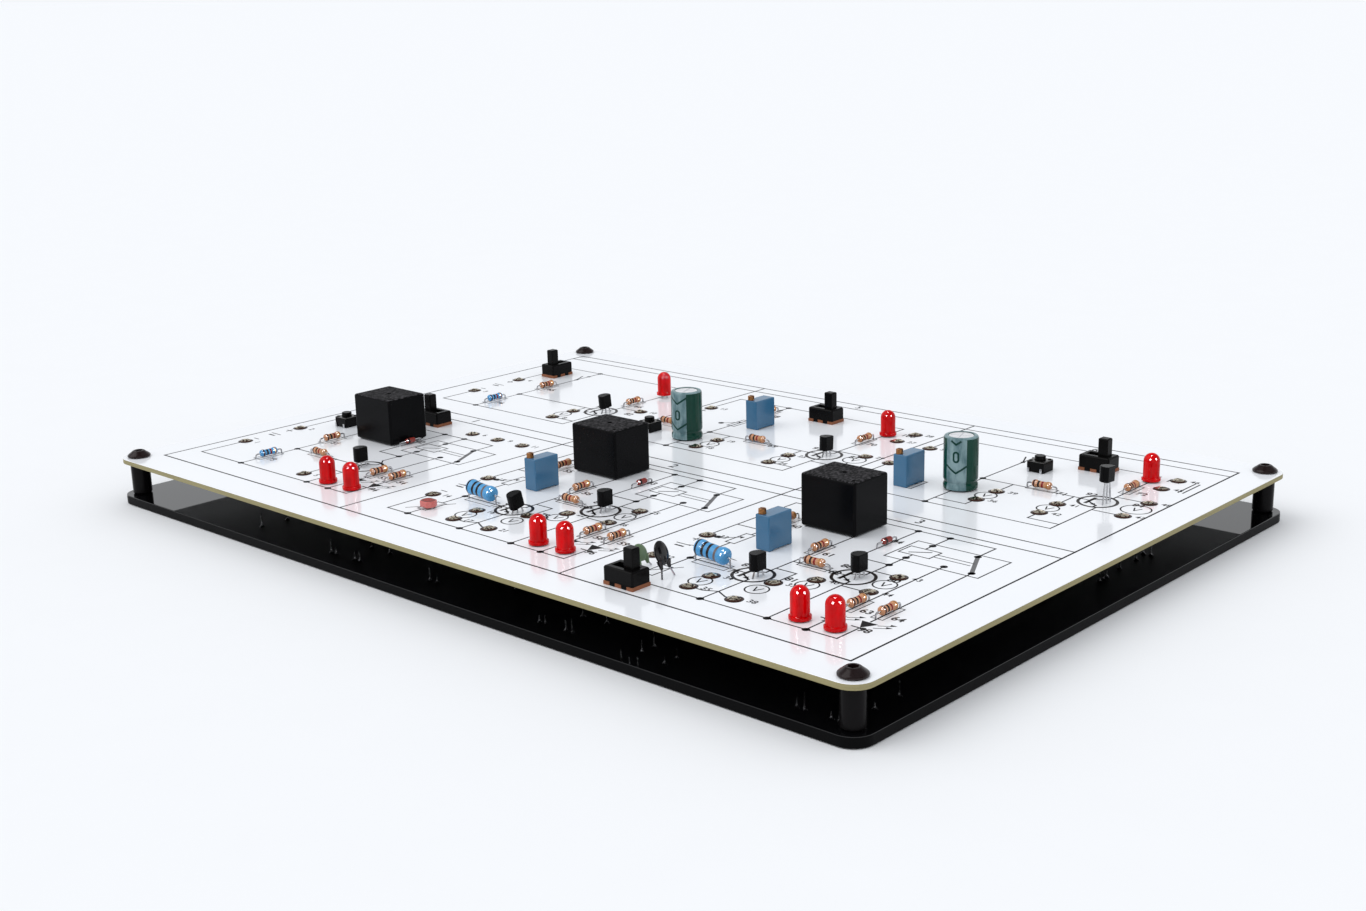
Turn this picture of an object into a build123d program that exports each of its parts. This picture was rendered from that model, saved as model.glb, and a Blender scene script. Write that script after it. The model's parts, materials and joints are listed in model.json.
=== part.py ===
from build123d import *
from math import cos, radians, sin, sqrt
import os

# Electronics training board: a white circuit board with six small teaching circuits, carried on four
# spacers above a black base plate. Millimetres, +Z up. The origin is at the bottom centre of the
# base plate; +X runs along the long side, and -Y is the front.

# The printed frame: three columns and two rows of circuits, each row with a title bar behind it
column_width = 96.67
row_depth = 92.5
title_depth = 6.3
side_border = 10.95
front_border = 11.8
column_count = 3
row_count = 2

# Board, spacers and base
board_thickness = 1.6
corner_radius = 6.0
screw_inset = 5.5
spacer_height = 11.0
spacer_diameter = 6.3
base_thickness = 3.0

# Corner screws, M4: button heads on top, countersunk heads below
thread_diameter = 4.0
thread_engagement = 4.0
button_head_diameter = 7.6
button_head_height = 2.2
button_shoulder_diameter = 6.6
button_top_diameter = 3.6
socket_across_flats = 2.5
socket_depth = 1.3
countersunk_head_diameter = 7.5
screw_clearance = 0.15
thread_clearance = 0.05

# Relay
relay_length = 19.3
relay_depth = 15.6
relay_height = 15.9
relay_wall = 0.9
relay_corner = 0.8
relay_foot_height = 0.3
relay_foot_side = 1.6
relay_base_thickness = 2.4
relay_base_gap = 0.1
relay_dimple_diameter = 1.6
relay_dimple_depth = 0.4
relay_vent_diameter = 1.2
relay_vent_inset = 2.2
relay_pin_inset = 2.0

# Slide switch
switch_length = 10.6
switch_depth = 6.8
switch_height = 5.1
switch_edge = 0.4
switch_wall = 0.6
switch_lid = 0.8
switch_base_height = 1.1
switch_window_length = 2.2
switch_window_gap = 0.1
knob_length = 3.4
knob_depth = 3.0
knob_rise = 5.6
knob_edge = 0.2
knob_top_edge = 0.3
knob_travel = 4.0
knob_gap = 0.1
slider_overhang = 0.6
switch_pin_pitch = 3.0

# Push-button, square
button_side = 6.0
button_body_height = 3.3
button_edge = 0.25
button_plate_thickness = 0.25
button_plate_inset = 0.1
button_rivet_diameter = 1.0
button_rivet_rise = 0.25
button_rivet_offset = 2.1
button_cap_diameter = 3.5
button_cap_rise = 1.45
button_cap_chamfer = 0.25
button_flange_diameter = 4.4
button_flange_thickness = 0.8
button_well_diameter = 4.8
button_well_depth = 1.6
button_travel = 0.25
button_gap = 0.1
button_dome_diameter = 4.3
button_dome_top_diameter = 1.5
button_dome_thickness = 0.12
button_dome_rise = 0.2
button_leg_width = 0.7
button_leg_thickness = 0.3
button_leg_pitch = 4.5
button_leg_reach = 0.5
button_leg_height = 1.5

# Multi-turn trimmer
trimmer_width = 5.0
trimmer_depth = 9.8
trimmer_height = 10.1
trimmer_foot_height = 0.4
trimmer_foot_depth = 1.4
trimmer_edge = 0.3
trimmer_screw_diameter = 2.2
trimmer_screw_inset = 1.4
trimmer_screw_rise = 1.5
trimmer_screw_seat = 1.6
trimmer_screw_gap = 0.08
trimmer_slot_width = 0.5
trimmer_slot_depth = 0.8
trimmer_pin_pitch = 2.54

# Light-emitting diode, 5 mm round with a flange
led_diameter = 5.0
led_height = 8.6
led_flange_diameter = 5.8
led_flange_thickness = 1.0
led_top_diameter = 0.8
led_dome_angles = (0, 32, 62)
led_lead_pitch = 2.54

# Transistor in its half-round case
transistor_diameter = 4.7
transistor_height = 4.7
transistor_flat = 1.3
transistor_lead_pitch = 1.27
transistor_foot_pitch = 2.2
lead_depth = 0.2

# Electrolytic capacitor
can_diameter = 10.2
can_height = 16.6
can_edge = 0.7
can_bead_height = 2.6
can_bead_depth = 0.45
can_bead_half_width = 0.8
sleeve_thickness = 0.2
sleeve_top_lip = 0.9
vent_width = 0.5
vent_depth = 0.25
vent_length = 6.4
bung_height = 0.4
bung_diameter = 8.0
can_lead_pitch = 5.0

# Light sensor, a flat disc with two straight sides
sensor_diameter = 5.1
sensor_width = 4.3
sensor_thickness = 2.0
sensor_lift = 0.5
sensor_lead_pitch = 3.4

# Thermistors, flat drops on two spread leads
black_drop_height = 6.6
black_drop_centre = 6.7
green_drop_height = 4.8
green_drop_centre = 4.2
drop_width = 4.8
drop_thickness = 2.2
drop_edge = 0.35
drop_skirt_drop = 0.9
drop_leg_length = 1.0
drop_leg_width = 0.9
drop_leg_pitch = 3.0
drop_foot_pitch = 4.8

# Small resistors
resistor_length = 6.3
resistor_diameter = 2.4
resistor_waist_diameter = 2.0
resistor_end_diameter = 1.6
resistor_cap_length = 1.7
resistor_axis_height = 1.45
resistor_foot_pitch = 10.2

# Large resistors
power_length = 10.9
power_diameter = 4.8
power_waist_diameter = 4.3
power_end_diameter = 2.8
power_cap_length = 2.6
power_axis_height = 3.5
power_lean = 5.0
power_foot_pitch = 12.4

# Glass diodes
diode_length = 3.9
diode_diameter = 1.8
diode_edge = 0.25
diode_axis_height = 1.25
diode_foot_pitch = 9.0

# Leads and solder
lead_side = 0.5
pad_diameter = 3.6
pad_top_diameter = 1.2
pad_height = 0.85
joint_width = 1.5
joint_height = 2.2

# Room between a relay and the diode beside it
relay_diode_gap = 1.0

# Sides of the round pieces, which are many and small
drop_sides = 16
round_sides = 12
led_sides = 10
small_sides = 6

# Worked-out levels and outlines
board_length = column_count * column_width + 2 * side_border
board_depth = row_count * (row_depth + title_depth) + 2 * front_border
spacer_bottom = base_thickness
board_bottom = spacer_bottom + spacer_height
board_top = board_bottom + board_thickness
frame_left = side_border - board_length / 2
frame_front = front_border - board_depth / 2

# Each circuit has a column, a row, and the place of its lower left printed corner in that cell
circuits = {
    "front_left": (0, 0, 6.2, 10.5),
    "front_middle": (1, 0, 12.5, 9.2),
    "front_right": (2, 0, 9.2, 9.0),
    "back_left": (0, 1, 11.4, 13.6),
    "back_middle": (1, 1, 6.7, 14.5),
    "back_right": (2, 1, 5.3, 14.5),
}

nodes = {}
feet = []


def add(node, *solids):
    """Put solids into the named sub-part."""
    for solid in solids:
        nodes.setdefault(node, []).append(solid)


def spot(circuit, x, y):
    """Place on the board's top, measured from the lower left corner of one printed circuit."""
    column, row, inset_x, inset_y = circuits[circuit]
    left = frame_left + column * column_width + inset_x
    front = frame_front + row * (row_depth + title_depth) + inset_y
    return Pos(left + x, front + y, board_top)


def block(length, depth, height, x=0, y=0, z=0):
    """Box standing on height z with its centre at x, y."""
    return Pos(x, y, z) * Box(length, depth, height, align=(Align.CENTER, Align.CENTER, Align.MIN))


def ring(sides, diameter, z):
    """Corners of a level regular polygon inside a circle."""
    turn = Rot(0, 0, 360 / sides)
    corners = [Pos(diameter / 2, 0, z)]
    for _ in range(sides - 1):
        corners.append(turn * corners[-1])
    return [corner.position for corner in corners]


def stack(sides, *sections):
    """Many-sided round solid through its sections, each a diameter and a height."""
    rings = [ring(sides, diameter, z) for diameter, z in sections]
    faces = [Face(Wire.make_polygon(rings[0])), Face(Wire.make_polygon(rings[-1]))]
    for low, high in zip(rings, rings[1:]):
        for i in range(sides):
            faces.append(Face(Wire.make_polygon([low[i - 1], low[i], high[i], high[i - 1]])))
    return Solid(Shell(faces))


def rod(diameter, height, x=0, y=0, z=0, sides=round_sides):
    """Upright round rod standing on height z."""
    return Pos(x, y, z) * extrude(RegularPolygon(diameter / 2, sides), height)


def straight_lead(start, end, side=lead_side):
    """Square lead between two points, cut level at both ends."""
    foot = Plane(origin=start) * Rectangle(side, side)
    head = Plane(origin=end) * Rectangle(side, side)
    return loft([foot, head])


def bent_wire(half_body, half_span, axis_height):
    """Wire that leaves a lying body at its end and turns down to the board, along X."""
    path = Polyline((half_body, 0, axis_height), (half_span, 0, axis_height), (half_span, 0, 0))
    section = Plane(origin=(half_body, 0, axis_height), z_dir=(1, 0, 0)) * Rectangle(lead_side, lead_side)
    return sweep(section, path=path, transition=Transition.RIGHT)


def stand(place, *points):
    """Note where leads pass through the board, for the joints below it."""
    for point in points:
        feet.append((place * Pos(*point)).position)


def corner_places():
    """The four screw places, near the corners of the board."""
    across = board_length - 2 * screw_inset
    along = board_depth - 2 * screw_inset
    return GridLocations(across, along, 2, 2)


def plate(thickness, z):
    """Round-cornered plate of the board's outline."""
    return Pos(0, 0, z) * extrude(RectangleRounded(board_length, board_depth, corner_radius), thickness)


def make_base_and_board():
    """Base plate, circuit board, spacers and their screws."""
    through_diameter = thread_diameter + 2 * screw_clearance
    base = plate(base_thickness, 0)
    board = plate(board_thickness, board_bottom)
    sink_diameter = countersunk_head_diameter + 2 * screw_clearance
    sink_depth = (sink_diameter - through_diameter) / 2
    sink = stack(round_sides, (sink_diameter, 0), (through_diameter, sink_depth))
    for place in corner_places():
        base -= place * rod(through_diameter, base_thickness)
        base -= place * sink
        board -= place * rod(through_diameter, board_thickness, z=board_bottom)
        bore = rod(thread_diameter + 2 * thread_clearance, spacer_height, z=spacer_bottom)
        add("spacers", place * (rod(spacer_diameter, spacer_height, z=spacer_bottom) - bore))
        add("board_screws", place * Pos(0, 0, board_top) * button_screw())
        add("base_screws", place * countersunk_screw())
    add("base_plate", base)
    add("circuit_board", board)


def button_screw():
    """Button-head screw seated on height 0, with its hexagon socket."""
    head = stack(
        round_sides,
        (button_head_diameter, 0),
        (button_shoulder_diameter, button_head_height / 2),
        (button_top_diameter, button_head_height),
    )
    head -= Pos(0, 0, button_head_height - socket_depth) * socket()
    length = board_thickness + thread_engagement
    return head + rod(thread_diameter, length, z=-length)


def countersunk_screw():
    """Countersunk screw flush with the underside of the base, pointing up."""
    taper = (countersunk_head_diameter - thread_diameter) / 2
    head = stack(round_sides, (countersunk_head_diameter, 0), (thread_diameter, taper))
    length = base_thickness + thread_engagement
    return head + rod(thread_diameter, length - taper, z=taper) - socket()


def socket():
    """Hexagon socket of the screws, standing on height 0."""
    return extrude(RegularPolygon(socket_across_flats / sqrt(3), 6), socket_depth)


def add_relay(circuit, x, y):
    """Relay cover over its base, which stands on four small feet."""
    place = spot(circuit, x, y)
    cover_height = relay_height - relay_foot_height
    cover = block(relay_length, relay_depth, cover_height, z=relay_foot_height)
    cover = chamfer(cover.edges().filter_by(Axis.Z) + cover.faces().sort_by(Axis.Z)[-1].edges(), relay_corner)
    recess_length = relay_length - 2 * relay_wall
    recess_depth = relay_depth - 2 * relay_wall
    cover -= block(recess_length, recess_depth, relay_base_thickness, z=relay_foot_height)
    cover -= rod(relay_dimple_diameter, relay_dimple_depth, z=relay_height - relay_dimple_depth, sides=small_sides)
    vent_x = relay_length / 2 - relay_vent_inset
    vent_y = relay_vent_inset - relay_depth / 2
    vent_bottom = relay_height - relay_dimple_depth
    cover -= rod(relay_vent_diameter, relay_dimple_depth, vent_x, vent_y, vent_bottom, small_sides)
    base_length = recess_length - 2 * relay_base_gap
    base_depth = recess_depth - 2 * relay_base_gap
    base = block(base_length, base_depth, relay_base_thickness, z=relay_foot_height)
    for corner in GridLocations(base_length - relay_foot_side, base_depth - relay_foot_side, 2, 2):
        base += corner * block(relay_foot_side, relay_foot_side, relay_foot_height)
    add("relay_covers", place * cover)
    add("relay_bases", place * base)
    pin_x = base_length / 2 - relay_pin_inset
    pin_y = base_depth / 2 - relay_pin_inset
    stand(place, (pin_x, pin_y, 0), (pin_x, -pin_y, 0), (-pin_x, 0, 0))
    coil_x = relay_pin_inset - pin_x
    stand(place, (coil_x, pin_y, 0), (coil_x, -pin_y, 0))


def add_slide_switch(circuit, x, y, rest, turn=0):
    """Slide switch with its long side along X before it is turned; rest is -1 or 1, the knob's end."""
    place = spot(circuit, x, y) * Rot(0, 0, turn)
    slot_length = knob_length + knob_travel + 2 * knob_gap
    slot_depth = knob_depth + 2 * knob_gap
    inner_depth = switch_depth - 2 * switch_wall
    inner_length = switch_length - 2 * switch_wall
    lid_bottom = switch_height - switch_lid

    base = block(switch_length, inner_depth - 2 * switch_window_gap, switch_base_height)
    windows = GridLocations((switch_length - switch_window_length) / 2, 0, 3, 1)
    for window in windows:
        base += window * block(switch_window_length, switch_depth, switch_base_height - switch_window_gap)
    housing = block(switch_length, switch_depth, switch_height)
    housing = chamfer(housing.edges().filter_by(Axis.Z) + housing.faces().sort_by(Axis.Z)[-1].edges(), switch_edge)
    housing -= block(switch_length, inner_depth, switch_base_height)
    for window in windows:
        opening = switch_window_length + 2 * switch_window_gap
        housing -= window * block(opening, switch_depth, switch_base_height)
    housing -= block(inner_length, inner_depth, lid_bottom - switch_base_height, z=switch_base_height)
    housing -= block(slot_length, slot_depth, switch_lid, z=lid_bottom)

    slider_bottom = switch_base_height + knob_gap
    slider_top = lid_bottom - knob_gap
    knob_top = switch_height + knob_rise
    knob = block(knob_length, knob_depth, knob_top - slider_top, z=slider_top)
    knob = chamfer(knob.edges().filter_by(Axis.Z), knob_edge)
    knob = chamfer(knob.faces().sort_by(Axis.Z)[-1].edges(), knob_top_edge)
    slider_length = knob_length + 2 * slider_overhang
    knob += block(slider_length, inner_depth - 2 * knob_gap, slider_top - slider_bottom, z=slider_bottom)
    add(circuit + "_switch_base", place * base)
    add(circuit + "_switch_housing", place * housing)
    add(circuit + "_switch_knob", place * Pos(rest * knob_travel / 2, 0, 0) * knob)
    stand(place, (-switch_pin_pitch, 0, 0), (0, 0, 0), (switch_pin_pitch, 0, 0))


def add_push_button(circuit, x, y):
    """Square push-button: body with riveted posts, top plate, snap dome, plunger and four legs."""
    place = spot(circuit, x, y)
    plate_top = button_body_height + button_plate_thickness
    well_bottom = button_body_height - button_well_depth
    rivets = GridLocations(2 * button_rivet_offset, 2 * button_rivet_offset, 2, 2)

    body = block(button_side, button_side, button_body_height)
    body = chamfer(body.edges().filter_by(Axis.Z), button_edge)
    body -= rod(button_well_diameter, button_well_depth, z=well_bottom)
    plate_side = button_side - 2 * button_plate_inset
    top_plate = block(plate_side, plate_side, button_plate_thickness, z=button_body_height)
    top_plate -= rod(button_cap_diameter + 2 * button_gap, button_plate_thickness, z=button_body_height)
    for rivet in rivets:
        post_height = button_plate_thickness + button_rivet_rise
        body += rivet * rod(button_rivet_diameter, post_height, z=button_body_height, sides=small_sides)
        hole = button_rivet_diameter + 2 * button_gap
        top_plate -= rivet * rod(hole, button_plate_thickness, z=button_body_height, sides=small_sides)

    flange_top = button_body_height - button_gap
    flange_bottom = flange_top - button_flange_thickness
    plunger = rod(button_flange_diameter, button_flange_thickness, z=flange_bottom)
    cap_top = plate_top + button_cap_rise
    plunger += stack(
        round_sides,
        (button_cap_diameter, flange_top),
        (button_cap_diameter, cap_top - button_cap_chamfer),
        (button_cap_diameter - 2 * button_cap_chamfer, cap_top),
    )
    dome = stack(
        small_sides,
        (button_dome_diameter, 0),
        (button_dome_diameter, button_dome_thickness),
        (button_dome_top_diameter, button_dome_rise + button_dome_thickness),
    )
    dome -= stack(
        small_sides,
        (button_dome_diameter - 2 * button_dome_thickness, 0),
        (button_dome_top_diameter, button_dome_rise),
    )

    leg_outer = button_side / 2 + button_leg_reach
    leg_profile = Polyline(
        (button_side / 2, button_leg_height),
        (leg_outer, button_leg_height),
        (leg_outer, 0),
        (leg_outer - button_leg_thickness, 0),
        (leg_outer - button_leg_thickness, button_leg_height - button_leg_thickness),
        (button_side / 2, button_leg_height - button_leg_thickness),
        close=True,
    )
    leg = extrude(make_face(Plane.YZ * leg_profile), button_leg_width / 2, both=True)
    for offset in (-button_leg_pitch / 2, button_leg_pitch / 2):
        for turn in (0, 180):
            add("button_legs", place * Rot(0, 0, turn) * Pos(offset, 0, 0) * leg)
            stand(place * Rot(0, 0, turn), (offset, leg_outer - button_leg_thickness / 2, 0))
    add(circuit + "_button_body", place * body)
    add(circuit + "_button_plate", place * top_plate)
    add(circuit + "_button_plunger", place * plunger)
    add("button_domes", place * Pos(0, 0, well_bottom) * dome)


def add_trimmer(circuit, x, y):
    """Multi-turn trimmer on end; its brass screw stands in the back left corner of the top."""
    place = spot(circuit, x, y)
    body = block(trimmer_width, trimmer_depth, trimmer_height)
    body = chamfer(body.edges().filter_by(Axis.Z) + body.faces().sort_by(Axis.Z)[-1].edges(), trimmer_edge)
    body -= block(trimmer_width, trimmer_depth - 2 * trimmer_foot_depth, trimmer_foot_height)
    screw_x = trimmer_screw_inset - trimmer_width / 2
    screw_y = trimmer_screw_inset - trimmer_depth / 2
    seat = trimmer_height - trimmer_screw_seat
    body -= rod(trimmer_screw_diameter + 2 * trimmer_screw_gap, trimmer_screw_seat, screw_x, screw_y, seat)
    screw_height = trimmer_screw_seat - trimmer_screw_gap + trimmer_screw_rise
    screw = rod(trimmer_screw_diameter, screw_height, z=seat + trimmer_screw_gap)
    slot_bottom = trimmer_height + trimmer_screw_rise - trimmer_slot_depth
    screw -= block(trimmer_screw_diameter, trimmer_slot_width, trimmer_slot_depth, z=slot_bottom)
    add(circuit + "_trimmer_body", place * body)
    add(circuit + "_trimmer_screw", place * Pos(screw_x, screw_y, 0) * screw)
    stand(place, (0, -trimmer_pin_pitch, 0), (0, 0, 0), (0, trimmer_pin_pitch, 0))


def add_led(circuit, x, y, lift):
    """Light-emitting diode with a domed top, its flange cut flat on one side."""
    place = spot(circuit, x, y) * Pos(0, 0, lift)
    radius = led_diameter / 2
    shoulder = led_height - radius
    dome = [
        (led_diameter * cos(radians(angle)), shoulder + radius * sin(radians(angle)))
        for angle in led_dome_angles
    ]
    body = stack(led_sides, (led_diameter, 0), *dome, (led_top_diameter, led_height))
    body += rod(led_flange_diameter, led_flange_thickness, sides=led_sides)
    body -= block(radius, led_flange_diameter, led_flange_thickness, x=-1.5 * radius)
    add("led_lenses", place * body)
    for side in (-1, 1):
        lead_x = side * led_lead_pitch / 2
        add("led_leads", place * straight_lead((lead_x, 0, -lift), (lead_x, 0, 0)))
        stand(place, (lead_x, 0, -lift))


def add_transistor(circuit, x, y, lift, lean=0, turn=0):
    """Half-round transistor on three spread leads in a row along Y, leaning by lean degrees."""
    place = spot(circuit, x, y) * Rot(0, 0, turn)
    outline = RegularPolygon(transistor_diameter / 2, round_sides)
    cut_width = transistor_diameter / 2 - transistor_flat
    outline -= Pos(transistor_flat + cut_width / 2, 0) * Rectangle(cut_width, transistor_diameter)
    body = Pos(0, 0, lift) * Rot(lean, 0, 0) * extrude(outline, transistor_height)
    add("transistor_bodies", place * body)
    for step in (-1, 0, 1):
        foot = (0, step * transistor_foot_pitch, 0)
        exit_point = Pos(0, 0, lift) * Rot(lean, 0, 0) * Pos(0, step * transistor_lead_pitch, lead_depth)
        lead = straight_lead(foot, exit_point.position, lead_side)
        add("transistor_leads", place * (lead - body))
        stand(place, foot)


def can_sections(offset):
    """Sections of the capacitor's can, grown by offset, from its lower to its upper edge."""
    diameter = can_diameter + 2 * offset
    return [
        (diameter, bung_height),
        (diameter, can_bead_height - can_bead_half_width),
        (diameter - 2 * can_bead_depth, can_bead_height),
        (diameter, can_bead_height + can_bead_half_width),
        (diameter, can_height - can_edge),
        (diameter - 2 * can_edge, can_height + offset),
    ]


def add_capacitor(circuit, x, y):
    """Electrolytic capacitor: can, printed sleeve, rubber bung and two leads."""
    place = spot(circuit, x, y)
    can = stack(round_sides, *can_sections(0))
    lip_diameter = can_diameter - 2 * can_edge - 2 * sleeve_top_lip
    sleeve = stack(round_sides, *can_sections(sleeve_thickness)) - can
    sleeve -= rod(lip_diameter, sleeve_thickness, z=can_height)
    for turn in (0, 90):
        groove = block(vent_length, vent_width, vent_depth, z=can_height - vent_depth)
        can -= Rot(0, 0, turn) * groove
    bung = rod(bung_diameter, bung_height)
    add("capacitor_cans", place * can)
    add("capacitor_sleeves", place * sleeve)
    add("capacitor_bungs", place * bung)
    stand(place, (-can_lead_pitch / 2, 0, 0), (can_lead_pitch / 2, 0, 0))


def add_light_sensor(circuit, x, y):
    """Light sensor, a flat disc lying face up on two short leads."""
    place = spot(circuit, x, y)
    outline = RegularPolygon(sensor_diameter / 2, round_sides) & Rectangle(sensor_diameter, sensor_width)
    add("light_sensor", place * Pos(0, 0, sensor_lift) * extrude(outline, sensor_thickness))
    for side in (-1, 1):
        lead_x = side * sensor_lead_pitch / 2
        add("sensor_leads", place * straight_lead((lead_x, 0, 0), (lead_x, 0, sensor_lift)))
        stand(place, (lead_x, 0, 0))


def add_thermistor(node, circuit, x, y, height, centre, lean):
    """Drop-shaped thermistor standing across Y on two spread leads, leaning by lean degrees."""
    place = spot(circuit, x, y)
    tilt = Rot(0, lean, 0)
    corners = []
    for i in range(drop_sides):
        angle = radians(360 * i / drop_sides)
        corners.append((drop_width / 2 * cos(angle), centre + height / 2 * sin(angle)))
    outline = make_face(Polyline(corners, close=True))
    skirt_half_width = drop_width / 2 * sqrt(1 - (2 * drop_skirt_drop / height) ** 2)
    leg_bottom = centre - height / 2 - drop_leg_length
    for side in (-1, 1):
        inner = side * (drop_leg_pitch - drop_leg_width) / 2
        outer = side * (drop_leg_pitch + drop_leg_width) / 2
        leg = Polyline(
            (inner, leg_bottom),
            (outer, leg_bottom),
            (side * skirt_half_width, centre - drop_skirt_drop),
            (0, centre),
            close=True,
        )
        outline += make_face(leg)
    body = extrude(Plane.YZ * outline, drop_thickness / 2, both=True)
    sides = body.faces().sort_by(Axis.X)
    body = chamfer(sides[0].edges() + sides[-1].edges(), drop_edge)
    add(node, place * tilt * body)
    for side in (-1, 1):
        head = (tilt * Pos(0, side * drop_leg_pitch / 2, leg_bottom + lead_depth)).position
        foot = (0, side * drop_foot_pitch / 2, 0)
        lead = straight_lead(foot, head)
        add("sensor_leads", place * (lead - tilt * body))
        stand(place, foot)


def resistor_body(sides, length, diameter, waist, end, cap_length):
    """Resistor body lying along X, thick at its two caps, narrower at the waist and at the ends."""
    upright = stack(
        sides,
        (end, 0),
        (diameter, cap_length / 2),
        (waist, cap_length),
        (waist, length - cap_length),
        (diameter, length - cap_length / 2),
        (end, length),
    )
    return Pos(-length / 2, 0, 0) * Rot(0, 90, 0) * upright


def add_resistor(node, circuit, x, y, turn=90):
    """Small resistor along Y, or along X with turn 0, with its two bent wires."""
    place = spot(circuit, x, y) * Rot(0, 0, turn)
    body = resistor_body(
        small_sides,
        resistor_length,
        resistor_diameter,
        resistor_waist_diameter,
        resistor_end_diameter,
        resistor_cap_length,
    )
    add(node, place * Pos(0, 0, resistor_axis_height) * body)
    add_wires(place, resistor_length / 2, resistor_foot_pitch / 2, resistor_axis_height)


def add_wires(place, half_body, half_span, axis_height):
    """The two bent wires of a lying component."""
    wire = bent_wire(half_body, half_span, axis_height)
    for turn in (0, 180):
        add("component_wires", place * Rot(0, 0, turn) * wire)
        stand(place * Rot(0, 0, turn), (half_span, 0, 0))


def add_power_resistor(circuit, x, y):
    """Large resistor along X, held off the board, its right end a little lower."""
    place = spot(circuit, x, y)
    body = Pos(0, 0, power_axis_height) * Rot(0, power_lean, 0) * resistor_body(
        round_sides,
        power_length,
        power_diameter,
        power_waist_diameter,
        power_end_diameter,
        power_cap_length,
    )
    add("power_resistors", place * body)
    half_span = power_foot_pitch / 2
    half_body = power_length / 2 * cos(radians(power_lean)) - lead_depth
    end_drop = power_length / 2 * sin(radians(power_lean))
    for turn, height in ((0, power_axis_height - end_drop), (180, power_axis_height + end_drop)):
        wire = Rot(0, 0, turn) * bent_wire(half_body, half_span, height)
        add("component_wires", place * (wire - body))
        stand(place * Rot(0, 0, turn), (half_span, 0, 0))


def add_diode(circuit, x, y):
    """Small glass diode along Y."""
    place = spot(circuit, x, y) * Rot(0, 0, 90)
    upright = stack(
        small_sides,
        (diode_diameter - 2 * diode_edge, 0),
        (diode_diameter, diode_edge),
        (diode_diameter, diode_length - diode_edge),
        (diode_diameter - 2 * diode_edge, diode_length),
    )
    add("diodes", place * Pos(-diode_length / 2, 0, diode_axis_height) * Rot(0, 90, 0) * upright)
    add_wires(place, diode_length / 2, diode_foot_pitch / 2, diode_axis_height)


def add_test_pads(circuit, *places):
    """Tinned pads with a mound of solder, for test leads."""
    mound = stack(small_sides, (pad_diameter, 0), (pad_top_diameter, pad_height))
    for x, y in places:
        add("test_pads", spot(circuit, x, y) * mound)


def make_relay_circuit():
    """Front left: push-button and slide switch, transistor stage and relay."""
    name = "front_left"
    relay_x = 37.7
    add_relay(name, relay_x, 51.8)
    add_slide_switch(name, 34.2, 74.0, -1)
    add_push_button(name, 10.6, 53.1)
    add_resistor("blue_resistors", name, 23.4, 11.0)
    add_resistor("brown_resistors", name, 23.4, 37.0)
    add_resistor("brown_resistors", name, 36.8, 22.2, turn=0)
    add_resistor("brown_resistors", name, 71.6, 19.9)
    add_resistor("brown_resistors", name, 80.7, 20.1)
    add_diode(name, relay_x + relay_length / 2 + relay_diode_gap + diode_diameter / 2, 50.6)
    add_transistor(name, 59.7, 21.9, 2.0)
    add_led(name, 66.3, 3.9, 0.3)
    add_led(name, 78.5, 3.9, 0.3)
    add_test_pads(name, (0, 40.3), (0, 17.5), (56.3, 72.5), (69.3, 72.5), (81.8, 72.5), (51.3, 5.3))


def make_sensor_circuit(name):
    """Front middle and front right: sensor, trimmer, two transistor stages and relay."""
    add_relay(name, 24.8, 70.6)
    add_trimmer(name, 21.0, 43.9)
    add_power_resistor(name, 17.9, 22.0)
    add_resistor("brown_resistors", name, 10.0, 63.3)
    add_resistor("brown_resistors", name, 32.8, 49.3)
    add_resistor("brown_resistors", name, 40.2, 37.6, turn=0)
    add_resistor("brown_resistors", name, 66.9, 20.6)
    add_resistor("brown_resistors", name, 76.0, 21.1)
    add_diode(name, 44.2, 64.3)
    add_transistor(name, 54.9, 37.7, 2.0)
    add_led(name, 61.9, 4.4, 0.3)
    add_led(name, 72.7, 4.4, 0.3)
    add_test_pads(
        name, (0, 40.0), (0, 17.6), (23.8, 14.8), (24.7, 5.0), (40.1, 5.1),
        (40.0, 20.7), (47.3, 29.3), (62.7, 44.2), (63.3, 30.4),
    )


def make_transistor_circuit():
    """Back left: slide switch, transistor and light."""
    name = "back_left"
    add_slide_switch(name, 6.2, 53.6, -1, turn=90)
    add_resistor("brown_resistors", name, 19.0, 36.0)
    add_resistor("blue_resistors", name, 19.0, 9.3)
    add_resistor("brown_resistors", name, 65.3, 36.4)
    add_transistor(name, 66.3, 21.0, 2.0, lean=6)
    add_led(name, 67.1, 51.4, 1.2)
    add_test_pads(name, (0, 38.6), (0, 15.6), (54.9, 15.6), (55.1, 4.9), (75.6, 29.6))


def make_off_delay_circuit():
    """Back middle: timing capacitor with trimmer, push-button and slide switch."""
    name = "back_middle"
    add_slide_switch(name, 45.3, 58.8, 1)
    add_push_button(name, 4.8, 11.3)
    add_trimmer(name, 32.1, 38.6)
    add_capacitor(name, 22.0, 11.8)
    add_resistor("brown_resistors", name, 3.9, 21.6, turn=0)
    add_resistor("brown_resistors", name, 22.6, 54.7)
    add_resistor("brown_resistors", name, 45.0, 21.6, turn=0)
    add_resistor("brown_resistors", name, 72.8, 44.4)
    add_transistor(name, 74.0, 22.2, 2.0, lean=-3)
    add_led(name, 74.6, 55.3, 0.4)
    add_test_pads(
        name, (0.2, 48.7), (0.2, 27.0), (32.4, 15.5), (32.1, 5.0), (63.6, 15.2),
        (63.8, 4.9), (84.6, 29.2), (81.4, 61.7), (81.4, 51.2),
    )


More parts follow.
